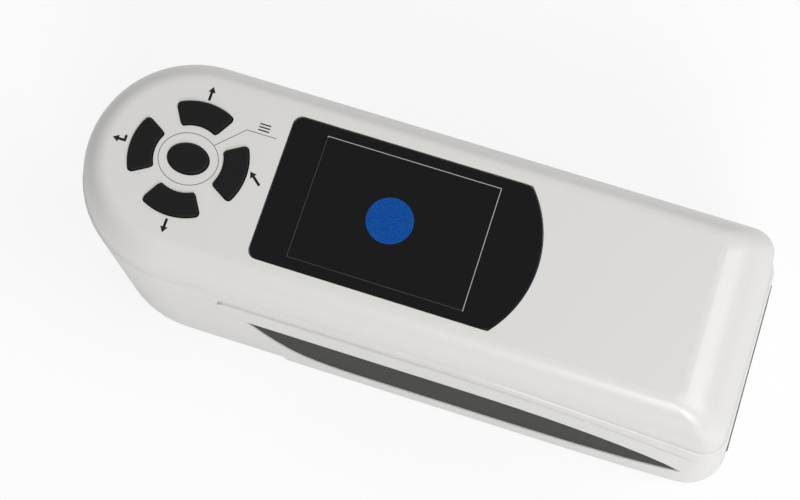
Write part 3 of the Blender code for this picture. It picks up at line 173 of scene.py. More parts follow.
def pullUp(high):
    # the flat faces of the piece in edit mode pulled up into a closed solid
    bpy.ops.mesh.select_all(action="SELECT")
    bpy.ops.mesh.extrude_region_move(TRANSFORM_OT_translate={"value": (0, 0, high)})
    bpy.ops.mesh.select_all(action="SELECT")
    bpy.ops.mesh.normals_make_consistent(inside=False)
    leaveEdit()


def modify(piece, kind, **settings):
    # one modifier, set and applied
    only(piece)
    step = piece.modifiers.new(kind.lower(), kind)
    for key, value in settings.items():
        setattr(step, key, value)
    bpy.ops.object.modifier_apply(modifier=step.name)


def drop(piece):
    mesh = piece.data
    bpy.data.objects.remove(piece, do_unlink=True)
    bpy.data.meshes.remove(mesh)


def cut(piece, tool, operation="DIFFERENCE"):
    modify(piece, "BOOLEAN", operation=operation, object=tool, solver="EXACT")
    drop(tool)


def smooth(piece, angle):
    only(piece)
    bpy.ops.object.shade_smooth_by_angle(angle=angle)
    modify(piece, "WEIGHTED_NORMAL", mode="FACE_AREA_WITH_ANGLE", keep_sharp=True)


def place(piece, onBody, finish, slot, *stands):
    piece.data.materials.clear()
    piece.data.materials.append(finish)
    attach(piece, onBody)
    if stands:
        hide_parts(*stands)


# a socket that can be used in sums
class Wire:
    def __init__(self, finish, socket):
        self.finish, self.socket = finish, socket

    def sum(self, operation, left, right):
        return self.finish.node("ShaderNodeMath", {"operation": operation}, {0: left, 1: right})[0]

    def __add__(self, other):
        return self.sum("ADD", self, other)

    def __sub__(self, other):
        return self.sum("SUBTRACT", self, other)

    def __rsub__(self, other):
        return self.sum("SUBTRACT", other, self)

    def __mul__(self, other):
        return self.sum("MULTIPLY", self, other)

    def __gt__(self, other):
        return self.sum("GREATER_THAN", self, other)

    def __lt__(self, other):
        return self.sum("LESS_THAN", self, other)

    __radd__ = __add__
    __rmul__ = __mul__


# one material, with its nodes
class Finish:
    def __init__(self, name, **sockets):
        self.material = bpy.data.materials.new(name)
        self.material.use_nodes = True
        self.tree = self.material.node_tree
        self.shader = self.tree.nodes["Principled BSDF"]
        for key, value in sockets.items():
            self.set(key, value)

    def set(self, socket, value):
        self.feed(self.shader.inputs[socket.replace("_", " ")], value)

    def feed(self, target, value):
        if isinstance(value, Wire):
            self.tree.links.new(value.socket, target)
        elif isinstance(value, tuple) and len(value) == 3 and len(target.default_value) == 4:
            target.default_value = (*value, 1)
        else:
            target.default_value = value

    def node(self, kind, settings=None, inputs=None):
        made = self.tree.nodes.new(kind)
        for key, value in (settings or {}).items():
            setattr(made, key, value)
        for key, value in (inputs or {}).items():
            self.feed(made.inputs[key], value)
        return [Wire(self, socket) for socket in made.outputs]

    def at(self):
        return self.node("ShaderNodeTexCoord")[3]  # the Object coordinates

    def noise(self, scale, detail, rough=0.5):
        return self.node("ShaderNodeTexNoise", None,
                         {"Vector": self.at(), "Scale": scale, "Detail": detail, "Roughness": rough})[0]

    def blend(self, factor, first, second):
        # the Mix node's colour sockets share their names with others, so they go by number
        return self.node("ShaderNodeMix", {"data_type": "RGBA"}, {0: factor, 6: first, 7: second})[2]

    def bump(self, height, strength, distance):
        self.set("Normal", self.node("ShaderNodeBump", None,
                                     {"Strength": strength, "Distance": distance, "Height": height})[0])


# moulded white: two whites clouded into each other under a fine grain
# a noise is scale, detail and roughness, and a bump is strength and height
white = {
    "light": (0.665, 0.655, 0.635),
    "dark": (0.640, 0.630, 0.610),
    "gloss": 0.5,
    "coat": 0.35,
    "coatRough": 0.22,
    "cloud": (28, 3),
    "grain": (5200, 2, 0.6),
    "mixCloud": 0.55,
    "mixFrom": 0.2,
    "shellRough": 0.36,
    "panelRough": 0.38,
    "roughLess": 0.05,
    "roughCloud": 0.05,
    "roughGrain": 0.06,
    "bumpCloud": 0.2,
    "bump": (0.10, 0.00003),
}


def whiteFinish(name, rough):
    finish = Finish(name, Specular_IOR_Level=white["gloss"], Coat_Weight=white["coat"],
                    Coat_Roughness=white["coatRough"])
    cloud = finish.noise(*white["cloud"])
    grain = finish.noise(*white["grain"])
    mix = cloud * white["mixCloud"] + white["mixFrom"]
    finish.set("Base Color", finish.blend(mix, white["light"], white["dark"]))
    finish.set("Roughness", rough - white["roughLess"] + cloud * white["roughCloud"] + grain * white["roughGrain"])
    finish.bump(grain + cloud * white["bumpCloud"], *white["bump"])
    return finish.material


# grip rubber: matt, with dark and light grains
rubber = {
    "dark": (0.0085, 0.0085, 0.0076),
    "light": (0.046, 0.046, 0.041),
    "gloss": 0.35,
    "grain": (2600, 4, 0.7),
    "fleck": (6500, 2, 0.5),
    "mixGrain": 1.4,
    "mixLess": 0.2,
    "rough": 0.66,
    "roughFleck": 0.18,
    "bumpFleck": 0.5,
    "bump": (0.55, 0.00012),
}


def rubberFinish(name):
    finish = Finish(name, Specular_IOR_Level=rubber["gloss"])
    grain = finish.noise(*rubber["grain"])
    fleck = finish.noise(*rubber["fleck"])
    mix = grain * rubber["mixGrain"] - rubber["mixLess"]
    finish.set("Base Color", finish.blend(mix, rubber["dark"], rubber["light"]))
    finish.set("Roughness", rubber["rough"] + fleck * rubber["roughFleck"])
    finish.bump(grain + fleck * rubber["bumpFleck"], *rubber["bump"])
    return finish.material


# plain parts: one colour, darkened a little by a fine grain
plain = {
    "scale": 1800,
    "detail": 3,
    "spread": 0.12,
    "roughLess": 0.04,
    "roughGrain": 0.08,
    "bump": 0.08,
    "bumpHigh": 0.00003,
}


def plainFinish(name, colour, rough, scale=plain["scale"], spread=plain["spread"], bump=plain["bump"], **sockets):
    finish = Finish(name, **sockets)
    grain = finish.noise(scale, plain["detail"])
    darker = tuple(c * (1 - spread) for c in colour)
    finish.set("Base Color", finish.blend(grain, colour, darker))
    finish.set("Roughness", rough - plain["roughLess"] + grain * plain["roughGrain"])
    finish.bump(grain, bump, plain["bumpHigh"])
    return finish.material


# the patch on the screen: a deep blue with fine light flecks
patch = {
    "deep": (0.0010, 0.036, 0.205),
    "bright": (0.0020, 0.066, 0.325),
    "light": (0.020, 0.15, 0.47),
    "gloss": 0.12,
    "fleck": (4200, 2, 0.7),
    "cloud": (1300, 3),
    "fleckFrom": 0.58,
    "fleckShare": 0.8,
    "rough": 0.28,
    "roughFleck": 0.1,
    "bump": (0.02, 0.00002),
}


def speckledBlue():
    finish = Finish("screenBlue", Specular_IOR_Level=patch["gloss"])
    fleck = finish.noise(*patch["fleck"])
    base = finish.blend(finish.noise(*patch["cloud"]), patch["deep"], patch["bright"])
    mask = (fleck > patch["fleckFrom"]) * patch["fleckShare"]
    finish.set("Base Color", finish.blend(mask, base, patch["light"]))
    finish.set("Roughness", patch["rough"] + fleck * patch["roughFleck"])
    finish.bump(fleck, *patch["bump"])
    return finish.material


# the screen's frame line, with painted light: painted shade on the near and nose sides, a painted highlight on the
# far and tail sides, where the light falls
border = {
    "paintedShadeSide": (0.045, 0.045, 0.047),
    "paintedHighlightSide": (0.40, 0.40, 0.41),
    "paintedHighlightFromX": 0.0148,
    "paintedHighlightFromY": 0.0176,
    "gloss": 0.2,
    "rough": 0.35,
}


def borderPaintedHighlight():
    finish = Finish("screenBorderPaintedHighlight", Roughness=border["rough"], Specular_IOR_Level=border["gloss"])
    x, y = finish.node("ShaderNodeSeparateXYZ", None, {"Vector": finish.at()})[:2]
    # the far and tail sides get the painted highlight colour, the near and nose sides the painted shade colour
    paintedHighlightSide = finish.node("ShaderNodeMath", {"operation": "MAXIMUM"},
                      {0: x > border["paintedHighlightFromX"], 1: y > border["paintedHighlightFromY"]})[0]
    finish.set("Base Color", finish.blend(paintedHighlightSide, border["paintedShadeSide"], border["paintedHighlightSide"]))
    return finish.material


finishes = {
    "shell": whiteFinish("warmWhiteShell", white["shellRough"]),
    "panel": whiteFinish("panelWhite", white["panelRough"]),
    "rubber": rubberFinish("gripRubber"),
    "key": plainFinish("keyBlack", (0.0095, 0.0095, 0.0095), rough=0.48, Specular_IOR_Level=0.16),
    "window": plainFinish("windowBlack", (0.0075, 0.0075, 0.0076), rough=0.12, scale=300, spread=0.1, bump=0.01,
                          Specular_IOR_Level=0.16),
    "black": plainFinish("blackPlastic", (0.020, 0.020, 0.021), rough=0.45),
    "diffuser": plainFinish("sphereWhite", (0.80, 0.80, 0.78), rough=0.85, scale=900, spread=0.05, bump=0.1),
    "steel": plainFinish("steelParts", (0.58, 0.58, 0.60), rough=0.32, scale=3000, spread=0.08, bump=0.04,
                         Metallic=1.0),
    "sheet": plainFinish("plainSheet", (0.62, 0.63, 0.65), rough=0.40, scale=1200, spread=0.08, bump=0.04,
                         Metallic=1.0),
    "board": plainFinish("boardGreen", (0.012, 0.110, 0.040), rough=0.45, scale=700, spread=0.2, bump=0.05),
    "cell": plainFinish("cellWrap", (0.04, 0.10, 0.36), rough=0.35, scale=500, spread=0.1, bump=0.03),
    "glass": plainFinish("lensGlass", (0.75, 0.80, 0.84), rough=0.06, scale=300, spread=0.03, bump=0.0, Alpha=0.4),
    "ink": plainFinish("darkInk", (0.012, 0.012, 0.012), rough=0.55, scale=4000, spread=0.2, bump=0.05,
                       Specular_IOR_Level=0.2),
    "line": plainFinish("greyInk", (0.17, 0.17, 0.165), rough=0.55, scale=4000, spread=0.15, bump=0.05,
                        Specular_IOR_Level=0.2),
    "blue": speckledBlue(),
    "border": borderPaintedHighlight(),
}
print("finishes made:", len(finishes))

# white cover
cover = {
    "drop": 0.0128,
    "side": 0.0085,
    "tail": 0.0140,
    "step": 0.0009,
    "flatCorner": 0.0040,
    "wall": 0.0024,
    "steps": 14,
    "noseSteps": 30,
    "noseShare": 0.99999,  # the two nose arcs stop just short of each other, and are merged after
    "cornerSteps": 14,
    "cuts": 26,
    "footHigh": 0.00055,
    "footFlare": 0.00038,
    "holeFrom": 0.070,
    "paneFrom": 0.0774,
    "holeTo": 0.082,
    "holeRound": 0.00022,
    "holeSteps": 3,
    "sharp": radians(60),
    "smoothAt": radians(40),
}


def outline(name, half, tail, corner, z):
    # a loop seen from above: half-round nose, straight sides, two rounded tail corners
    nose = body["noseX"]
    loop = start("plane", name, ((tail + nose - half) / 2, 0, z), (tail - nose + half, 2 * half, 1))
    edit(loop)
    pick("VERT", lambda at, v: at.x < nose)
    bpy.ops.mesh.bevel(offset=half * cover["noseShare"], segments=cover["noseSteps"], affect="VERTICES")
    pick("VERT", lambda at, v: at.x > tail - close["loose"])
    bpy.ops.mesh.bevel(offset=corner, segments=cover["cornerSteps"], affect="VERTICES")
    bpy.ops.mesh.select_all(action="SELECT")
    bpy.ops.mesh.remove_doubles(threshold=close["loose"])
    bpy.ops.mesh.delete(type="ONLY_FACE")
    leaveEdit()
    return loop


def shoulderLoops():
    # from the flat top down the shoulder to the joint
    loops = []
    edge = body["coverCorner"] - cover["step"]
    for i in range(cover["steps"] + 1):
        a = pi / 2 * (1 - i / cover["steps"])
        z = body["topZ"] - cover["drop"] * (1 - sin(a))
        inset = 1 - cos(a)
        half = halfAt(z) - cover["step"] - cover["side"] * inset
        tail = tailAt(z) - cover["step"] - cover["tail"] * inset
        loops.append(outline("level", half, tail, edge + (cover["flatCorner"] - edge) * inset, z))
    return loops


def footLoop(name, low, z, high, flare):
    # a loop of the foot at the joint, as wide as the nose there and as long as the dipped tail
    grow = flare - cover["step"]
    return outline(name, halfAt(z + high) + grow, tailAt(low + high) + grow, cornerAt(low) + grow, z + high)


def stack(loops, name):
    # joins loops one after another with bands of faces, and closes the first
    piece = loops[0]
    for loop in loops[1:]:
        only(piece)
        loop.select_set(True)
        bpy.ops.object.join()
    piece.name = piece.data.name = name
    count = len(piece.data.vertices) // len(loops)
    edit(piece)
    for k in range(len(loops) - 1):
        pick("VERT", lambda at, v: k * count <= v.index < (k + 2) * count)
        bpy.ops.mesh.bridge_edge_loops()
    pick("VERT", lambda at, v: v.index < count)
    bpy.ops.mesh.edge_face_add()
    leaveEdit()
    return piece


def dipRim(piece, low, levels):
    # the rim follows the dip of the joint, and the start of its foot goes down with it
    edit(piece)
    begin = body["tailX"] - body["dipLength"]
    end = tailAt(low) - cover["step"] - cornerAt(low)
    for i in range(cover["cuts"]):
        x = begin + (end - begin) * i / (cover["cuts"] - 1)
        bpy.ops.mesh.select_all(action="SELECT")
        bpy.ops.mesh.bisect(plane_co=(x, 0, 0), plane_no=(1, 0, 0))
    mesh = bmesh.from_edit_mesh(piece.data)
    for z in levels:
        columns = {round(v.co.x, close["digits"]) for v in mesh.verts if abs(v.co.z - z) < close["loose"]}
        for x in sorted(columns):
            if seamAt(x) < body["seamZ"] - close["tight"]:
                pick("VERT", lambda at, v: abs(at.z - z) < close["loose"] and abs(at.x - x) < close["node"])
                widen = (halfAt(seamAt(x)) - cover["step"]) / (halfAt(levels[0]) - cover["step"])
                bpy.ops.transform.resize(value=(1, widen, 1), center_override=(x, 0, z))
                bpy.ops.transform.translate(value=(0, 0, seamAt(x) - body["seamZ"]))
    bpy.ops.mesh.select_all(action="SELECT")
    bpy.ops.mesh.normals_make_consistent(inside=False)
    leaveEdit()


def makeCover():
    low = seamAt(body["tailX"]) + body["seamGap"]
    rim = body["seamZ"] + body["seamGap"]
    foot = footLoop("foot", low, rim, cover["footHigh"], 0)
    piece = stack(shoulderLoops() + [foot, footLoop("rim", low, rim, 0, cover["footFlare"])], "whiteCover")
    dipRim(piece, low, (rim, rim + cover["footHigh"]))
    modify(piece, "SOLIDIFY", thickness=cover["wall"], offset=-1, use_even_offset=True)
    for tool in keyBlocks(body["gap"], cover["holeFrom"], cover["holeTo"]):
        cut(piece, tool)
    cut(piece, windowBlock(body["gap"], cover["paneFrom"], cover["holeTo"]))
    edit(piece)
    pick("EDGE", lambda at, e: at.z > body["topZ"] - close["tight"] and e.calc_face_angle(0) > cover["sharp"])
    bpy.ops.mesh.bevel(offset=cover["holeRound"], segments=cover["holeSteps"], affect="EDGES", clamp_overlap=True)
    leaveEdit()
    smooth(piece, cover["smoothAt"])
    place(piece, "housing", finishes["shell"], "white_shell", "top_cover")


# keys
keys = {
    "inner": 0.0100,
    "outer": 0.0167,
    "halfAngle": radians(29.6),
    "steps": 14,
    "firstWide": 0.001,
    "flat": radians(1),
    "corner": 0.0012,
    "cornerSteps": 5,
    "long": 0.0116,
    "wide": 0.0086,
    "ovalSides": 64,
    "top": 0.0800,
    "foot": 0.0762,
    "edge": 0.00050,
    "edgeSteps": 5,
    "sharp": radians(50),
    "crown": 0.00010,
    "crownInset": 0.0007,
    "upward": 0.9,
    "smoothAt": radians(40),
    "bodies": ("key_enter", "key_up", "key_back", "key_down"),
}


def arcBlock(name, angle, grow, low, high):
    # an edge spun about the pad's centre, rounded at its corners and pulled up
    inner, outer = keys["inner"] - grow, keys["outer"] + grow
    centre = (body["noseX"], 0, low)
    block = start("plane", name, (body["noseX"] + (inner + outer) / 2, 0, low), (outer - inner, keys["firstWide"], 1))
    edit(block)
    pick("VERT", lambda at, v: at.y > 0)
    bpy.ops.mesh.delete(type="VERT")
    bpy.ops.mesh.select_all(action="SELECT")
    bpy.ops.transform.translate(value=(0, keys["firstWide"] / 2, 0))
    spread = keys["halfAngle"] + grow / ((inner + outer) / 2)
    bpy.ops.mesh.spin(steps=keys["steps"], angle=2 * spread, center=centre, axis=(0, 0, 1))
    leaveEdit()
    here = Matrix.Translation(centre)
    block.data.transform(here @ Matrix.Rotation(angle + spread, 4, "Z") @ here.inverted())
    edit(block)
    bpy.ops.mesh.remove_doubles(threshold=close["tight"])
    bpy.ops.mesh.dissolve_limited(angle_limit=keys["flat"], delimit=set())
    pick("VERT", lambda at, v: v.calc_edge_angle(0) > keys["sharp"])
    bpy.ops.mesh.bevel(offset=keys["corner"] + grow, segments=keys["cornerSteps"], affect="VERTICES")
    pullUp(high - low)
    return block


def ovalBlock(name, grow, low, high):
    size = (keys["long"] / 2 + grow, keys["wide"] / 2 + grow, 1)
    block = start("circle", name, (body["noseX"], 0, low), size, vertices=keys["ovalSides"], fill_type="NGON")
    edit(block)
    pullUp(high - low)
    return block


def keyBlocks(grow, low, high):
    # the five keys' shapes, to cut their holes with
    return [arcBlock("tool", i * pi / 2, grow, low, high) for i in range(4)] + [ovalBlock("tool", grow, low, high)]


def crownKey(block):
    # rounds the top edge and leaves the middle of the cap a little higher, at the key's own height
    edit(block)
    pick("FACE", lambda at, f: at.z > keys["top"] - close["tight"] and f.normal.z > keys["upward"])
    bpy.ops.mesh.inset(thickness=keys["crownInset"], depth=0)
    bpy.ops.transform.translate(value=(0, 0, keys["crown"]))
    pick("EDGE", lambda at, e: abs(at.z - keys["top"]) < close["tight"] and e.calc_face_angle(0) > keys["sharp"])
    bpy.ops.mesh.bevel(offset=keys["edge"], segments=keys["edgeSteps"], affect="EDGES", clamp_overlap=True)
    bpy.ops.mesh.select_all(action="SELECT")
    bpy.ops.transform.translate(value=(0, 0, -keys["crown"]))
    leaveEdit()
    smooth(block, keys["smoothAt"])


def makeKeys():
    for i, name in enumerate(keys["bodies"]):
        block = arcBlock(name.replace("key_", "cap_"), i * pi / 2, 0, keys["foot"], keys["top"])
        crownKey(block)
        place(block, name, finishes["key"], "black_plastic", name)
    block = ovalBlock("cap_menu", 0, keys["foot"], keys["top"])
    crownKey(block)
    place(block, "key_menu", finishes["key"], "black_plastic", "key_menu")


# display window
window = {
    "low": -0.0452,
    "high": 0.0228,
    "half": 0.0210,
    "bulge": 0.0078,
    "drumSides": 256,
    "spare": 0.002,
    "corner": 0.0026,
    "cornerSteps": 7,
    "upright": 0.0001,
    "top": 0.0790,
    "thick": 0.0015,
    "edge": 0.0002,
    "edgeSteps": 3,
    "sharp": radians(60),
    "smoothAt": radians(40),
}


def windowBlock(grow, low, high):
    # a bar cut to a broad arc at its tail end, with its four corners rounded
    half, middle = window["half"] + grow, (low + high) / 2
    left, right = window["low"] - grow, window["high"] + window["bulge"] + grow
    radius = (window["half"] ** 2 + window["bulge"] ** 2) / (2 * window["bulge"]) + grow
    block = start("cube", "tool", ((left + right) / 2, 0, middle), (right - left, 2 * half, high - low))
    drum = start("cylinder", "drum", (right - radius, 0, middle), (radius, radius, 1),
                 vertices=window["drumSides"], depth=2 * (high - low))
    stretch = start("cube", "stretch", ((left + right - radius) / 2, 0, middle),
                    (right - radius - left + window["spare"], 4 * half, 2 * (high - low)))
    cut(drum, stretch, "UNION")
    cut(block, drum, "INTERSECT")
    edit(block)
    bpy.ops.mesh.remove_doubles(threshold=close["tight"])
    pick("EDGE", lambda at, e: abs(e.verts[0].co.z - e.verts[1].co.z) > window["upright"]
         and abs(abs(at.y) - half) < close["loose"])
    bpy.ops.mesh.bevel(offset=window["corner"], segments=window["cornerSteps"], affect="EDGES")
    leaveEdit()
    return block


def makeWindow():
    pane = windowBlock(0, window["top"] - window["thick"], window["top"])
    pane.name = pane.data.name = "darkWindow"
    edit(pane)
    pick("EDGE", lambda at, e: at.z > window["top"] - close["tight"] and e.calc_face_angle(0) > window["sharp"])
    bpy.ops.mesh.bevel(offset=window["edge"], segments=window["edgeSteps"], affect="EDGES")
    leaveEdit()
    smooth(pane, window["smoothAt"])
    place(pane, "housing", finishes["window"], "black_window", "display_window")


# marks printed on the cover, placed from the middle of the key pad
marks = {
    "rise": 0.00003,
    "sunk": 0.00003,
    "line": 0.00020,
    "soften": 0.3,
    "softenSteps": 3,
    "shaft": 0.00075,
    "shaftShort": 0.8,
    "head": 0.0017,
    "headWide": 0.0021,
    "headTall": 1.5,  # height of a three-sided disc of radius 1
    "headHalf": 0.866,  # half its width
    "arrows": {"markUp": (-0.0002, 0.0177, -0.0002, 0.0219),
               "markDown": (0.0002, -0.0178, 0.0002, -0.0219),
               "markEnter": (0.0212, -0.0014, 0.0175, 0.0017),
               "markBack": (-0.0182, -0.0002, -0.0221, -0.0002)},
    "backLeg": 0.0016,
    "ring": (0.00844, 0.00745),
    "ringSteps": 128,
    "leader": ((0.0055, 0.00575), (0.0127, 0.0128), (0.0214, 0.0128)),
    "bars": {"centre": (0.0172, 0.0148), "long": 0.0032, "thick": 0.00036, "pitch": 0.00090},
}


def bar(name, first, last, wide, z):
    # a thin flat bar between two places, with its four corners rounded
    run = Vector(last) - Vector(first)
    piece = start("cube", name, (0, 0, 0), (run.length, wide, marks["rise"] + marks["sunk"]))
    piece.rotation_euler = (0, 0, run.to_2d().angle_signed(Vector((1, 0))))
    piece.location = ((first[0] + last[0]) / 2, (first[1] + last[1]) / 2, z + (marks["rise"] - marks["sunk"]) / 2)
    bpy.ops.object.transform_apply(location=True, rotation=True, scale=True)
    edit(piece)
    pick("EDGE", lambda at, e: abs(e.verts[0].co.z - e.verts[1].co.z) > marks["rise"])
    bpy.ops.mesh.bevel(offset=wide * marks["soften"], segments=marks["softenSteps"], affect="EDGES")
    leaveEdit()
    return piece


def arrow(name, route, z):
    # a bar with a three-sided head joined to its end
    first, tip = Vector(route[:2]), Vector(route[2:])
    way = (tip - first).normalized()
    shaft = bar(name, first, tip - way * marks["head"] * marks["shaftShort"], marks["shaft"], z)
    head = start("cylinder", "head", (0, 0, 0), (1, 1, 1), vertices=3, depth=marks["rise"] + marks["sunk"])
    reach = marks["head"] / marks["headTall"]
    points = [v.co.to_2d() for v in head.data.vertices]
    top = max(points, key=lambda q: q.y)
    turn = way.angle_signed(Vector((1, 0))) - top.angle_signed(Vector((1, 0)))
    head.scale = (marks["headWide"] / 2 / marks["headHalf"], reach, 1)
    bpy.ops.object.transform_apply(location=False, rotation=False, scale=True)
    head.rotation_euler = (0, 0, turn)
    head.location = (*(tip - way * reach), z + (marks["rise"] - marks["sunk"]) / 2)
    bpy.ops.object.transform_apply(location=True, rotation=True, scale=True)
    cut(shaft, head, "UNION")
    return shaft


def hoop(name, centre, half, wide, z):
    # a thin ring: a circle drawn in and pulled up
    outer, inner = [(half[0] + side * wide / 2, half[1] + side * wide / 2) for side in (1, -1)]
    piece = start("circle", name, (*centre, z - marks["sunk"]), (*outer, 1), vertices=marks["ringSteps"])
    edit(piece)
    bpy.ops.mesh.extrude_region_move()
    share = (inner[0] / outer[0], inner[1] / outer[1], 1)
    bpy.ops.transform.resize(value=share, center_override=(*centre, z))
    pullUp(marks["rise"] + marks["sunk"])
    return piece


def onPad(spot):
    return (spot[0] + body["noseX"], spot[1])


def makeMarks():
    z = body["topZ"]
    ink, line = finishes["ink"], finishes["line"]
    for name, route in marks["arrows"].items():
        piece = arrow(name, (*onPad(route[:2]), *onPad(route[2:])), z)
        if name == "markBack":
            corner = onPad(route[:2])
            legX = corner[0] - marks["shaft"] / 2
            cut(piece, bar("leg", (legX, corner[1] - marks["shaft"] / 2), (legX, corner[1] + marks["backLeg"]),
                           marks["shaft"], z), "UNION")
        place(piece, "housing", ink, None)
    place(hoop("keyRing", (body["noseX"], 0), marks["ring"], marks["line"], z), "housing", line, None)
    first, bend, last = [onPad(spot) for spot in marks["leader"]]
    leader = bar("leaderLine", first, bend, marks["line"], z)
    cut(leader, bar("part", (bend[0] - marks["line"] / 2, bend[1]), last, marks["line"], z), "UNION")
    place(leader, "housing", line, None)
    bars = marks["bars"]
    x, y = onPad(bars["centre"])
    for i in (-1, 0, 1):
        level = y + i * bars["pitch"]
        piece = bar("menuBar_" + str(i + 2), (x - bars["long"] / 2, level), (x + bars["long"] / 2, level),
                    bars["thick"], z)
        place(piece, "housing", ink, None)


# what the screen shows through the window
screen = {
    "low": -0.0350,
    "high": 0.0151,
    "half": 0.0180,
    "line": 0.00020,
    "disc": (-0.0113, 0.0),
    "discRadius": 0.0066,
    "discSides": 96,
    "sunk": 0.00003,
    "rise": 0.00003,
}


def makeScreen():
    z, thick = window["top"] - screen["sunk"], screen["rise"] + screen["sunk"]
    low, high = screen["low"], screen["high"]
    frameLine = start("plane", "screenFrame", ((low + high) / 2, 0, z), (high - low, 2 * screen["half"], 1))
    edit(frameLine)
    bpy.ops.mesh.inset(thickness=screen["line"], depth=0)
    bpy.ops.mesh.delete(type="FACE")
    pullUp(thick)
    place(frameLine, "housing", finishes["border"], None)
    radius = screen["discRadius"]
    disc = start("circle", "screenDisc", (*screen["disc"], z), (radius, radius, 1), vertices=screen["discSides"],
                 fill_type="NGON")
    edit(disc)
    pullUp(thick)
    place(disc, "housing", finishes["blue"], None)


# lower housing, panels and grips, from their CAD shapes
sides = {
    "merge": close["node"],
    "flat": radians(0.4),
    "shellEdge": 0.00014,
    "shellSteps": 2,
    "panelEdge": 0.00070,
    "gripEdge": 0.00022,
    "edgeSteps": 3,
    "sharp": radians(48),
    "smoothAt": radians(34),
    "draw": 0.00026,
    "footZ": 0.0032,
    "across": 0.3,
    "topFrom": 0.0385,
    "upward": 0.1,
    "frontBefore": -0.0300,
    "forward": 0.9,
}


def fromNode(name, newName):
    # a copy of a CAD node with its triangles merged into clean faces
    piece = bpy.data.objects.new(newName, nodes[name].data.copy())
    piece.data.name = newName
    bpy.context.scene.collection.objects.link(piece)
    edit(piece)
    bpy.ops.mesh.remove_doubles(threshold=sides["merge"])
    bpy.ops.mesh.dissolve_limited(angle_limit=sides["flat"])
    leaveEdit()
    return piece


def roundEdges(piece, width, steps=sides["edgeSteps"]):
    modify(piece, "BEVEL", width=width, segments=steps, limit_method="ANGLE", angle_limit=sides["sharp"],
           harden_normals=False)
    smooth(piece, sides["smoothAt"])


def drawOut(piece, chosen):
    # the chosen faces across the wall moved a little outwards, for a fine seam
    edit(piece)
    pick("FACE", lambda at, f: abs(f.normal.y) < sides["across"] and at.z > sides["footZ"] and chosen(at, f.normal))
    bpy.ops.transform.shrink_fatten(value=sides["draw"])
    leaveEdit()


def topOrFront(at, normal):
    top = at.z > sides["topFrom"] and normal.z > sides["upward"]
    front = at.x < sides["frontBefore"] and normal.x < -sides["forward"]
    return top or front


def makeSides():
    shell = fromNode("lower_housing", "deepShell")
    roundEdges(shell, sides["shellEdge"], sides["shellSteps"])
    place(shell, "housing", finishes["shell"], "white_shell", "lower_housing")
    for word in ("near", "far"):
        panel = fromNode("side_panel_" + word, "sidePanel_" + word)
        drawOut(panel, topOrFront)
        roundEdges(panel, sides["panelEdge"])
        place(panel, "housing", finishes["panel"], "white_shell", "side_panel_" + word)
        grip = fromNode("grip_" + word, "rubberGrip_" + word)
        drawOut(grip, lambda at, normal: True)
        roundEdges(grip, sides["gripEdge"])
        place(grip, "housing", finishes["rubber"], "grip_rubber", "grip_" + word)


# fittings at the tail, on the nose and underneath, from their CAD shapes
# each has its new name, body, finish, slot and the width of its rounded edges
fittings = {
    "tail_plate": ("tailPlate", "housing", "black", "black_plastic", 0.00018),
    "power_switch": ("switchFrame", "housing", "black", "black_plastic", 0.00018),
    "charge_socket": ("chargeSocket", "housing", "black", "black_plastic", 0.00015),
    "usb_socket": ("dataSocket", "housing", "sheet", "steel", 0.00006),
    "aperture_ring": ("apertureRing", "housing", "black", "black_plastic", 0.00030),
    "foot_strip_near": ("footStrip_near", "housing", "rubber", "grip_rubber", 0.00020),
    "foot_strip_far": ("footStrip_far", "housing", "rubber", "grip_rubber", 0.00020),
    "power_rocker": ("powerRocker", "power_rocker", "key", "black_plastic", 0.00025),
    "measure_button": ("measureButton", "measure_button", "key", "black_plastic", 0.00030),
    "battery_cover": ("batteryCover", "battery_cover", "shell", "white_shell", 0.00015),
}


def makeFittings():
    for node, (name, onBody, finish, slot, edge) in fittings.items():
        piece = fromNode(node, name)
        roundEdges(piece, edge)
        place(piece, onBody, finishes[finish], slot, node)


# finishes of the CAD nodes that show as they are, or sit inside
nodeFinish = {
    "rubber": ("key_mat",),
    "black": ("sensor_tube", "battery_holder", "buzzer"),
    "diffuser": ("sphere_lower", "sphere_upper"),
    "board": ("key_board", "main_board", "sensor_board", "lamp_ring", "measure_switch", "port_board"),
    "sheet": ("display_module", "display_bracket"),
    "steel": ("contact_bridge", "contact_near", "contact_far", *[name for name in nodes if "screw" in name]),
    "cell": ("battery_cell_near", "battery_cell_far"),
    "glass": ("display_glass", "sensor_lens"),
}


def coverNodes():
    for finish, names in nodeFinish.items():
        for name in names:
            nodes[name].data.materials.clear()
            nodes[name].data.materials.append(finishes[finish])


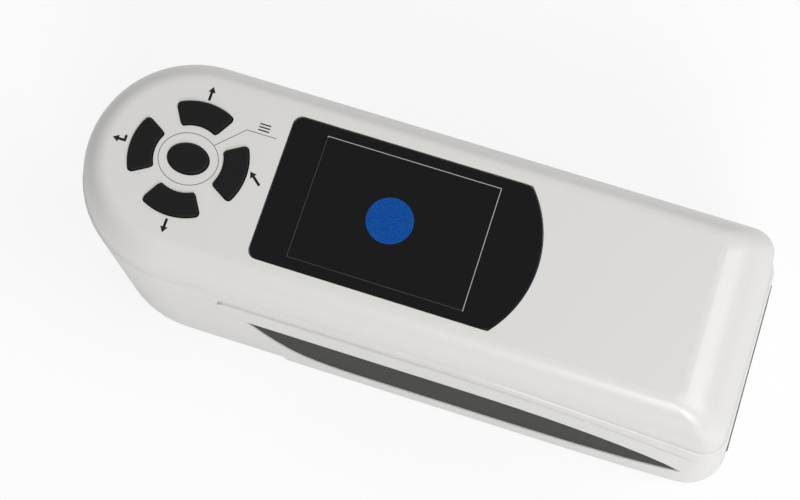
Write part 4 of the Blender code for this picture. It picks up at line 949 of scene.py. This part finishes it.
# floor and light
studio = {
    "floor": 8.0,
    "floorColour": (0.86, 0.86, 0.86),
    "floorRough": 0.9,
    "floorGloss": 0.1,
    "white": 1.0,
    "whiten": 0.80,
    "world": 0.385,
    "aim": (0, 0, 0.04),
    "lamps": {
        "tailSide": {"at": (0.85, 0.10, 1.25), "size": 0.9, "power": 9.3},
        "nearSide": {"at": (0.46, -0.95, 0.85), "size": 0.6, "power": 8.8},
        "farSide": {"at": (-0.10, 0.95, 0.80), "size": 0.7, "power": 1.7},
    },
}


def floorFinish():
    # the camera sees part of the floor as plain white, so that its shadow stays light
    look = Finish("paleFloor", Roughness=studio["floorRough"], Specular_IOR_Level=studio["floorGloss"])
    look.set("Base Color", studio["floorColour"])
    seen = look.node("ShaderNodeLightPath")[0]
    glow = look.node("ShaderNodeEmission", None, {"Color": (1, 1, 1), "Strength": studio["white"]})[0]
    mixed = look.node("ShaderNodeMixShader", None,
                      {0: seen * studio["whiten"], 1: Wire(look, look.shader.outputs[0]), 2: glow})[0]
    look.feed(look.tree.nodes["Material Output"].inputs["Surface"], mixed)
    return look.material


def setStage():
    floor = start("plane", "floor", (0, 0, 0), (studio["floor"], studio["floor"], 1))
    floor.data.materials.append(floorFinish())
    world = bpy.data.worlds.new("studio")
    bpy.context.scene.world = world
    world.use_nodes = True
    sky = world.node_tree.nodes["Background"]
    sky.inputs["Color"].default_value = (1, 1, 1, 1)
    sky.inputs["Strength"].default_value = studio["world"]
    for name, lamp in studio["lamps"].items():
        data = bpy.data.lights.new(name, "AREA")
        data.shape, data.size, data.energy = "SQUARE", lamp["size"], lamp["power"]
        thing = bpy.data.objects.new(name, data)
        bpy.context.scene.collection.objects.link(thing)
        thing.location = lamp["at"]
        thing.rotation_euler = (Vector(studio["aim"]) - thing.location).to_track_quat("-Z", "Y").to_euler()


setCamera()
makeCover()
print("cover made")
makeKeys()
print("keys made")
makeWindow()
makeMarks()
makeScreen()
print("window and marks made")
makeSides()
print("sides made")
makeFittings()
coverNodes()
print("fittings and finishes done")
setStage()
bpy.context.scene.view_settings.view_transform = "Standard"
leaveEdit()
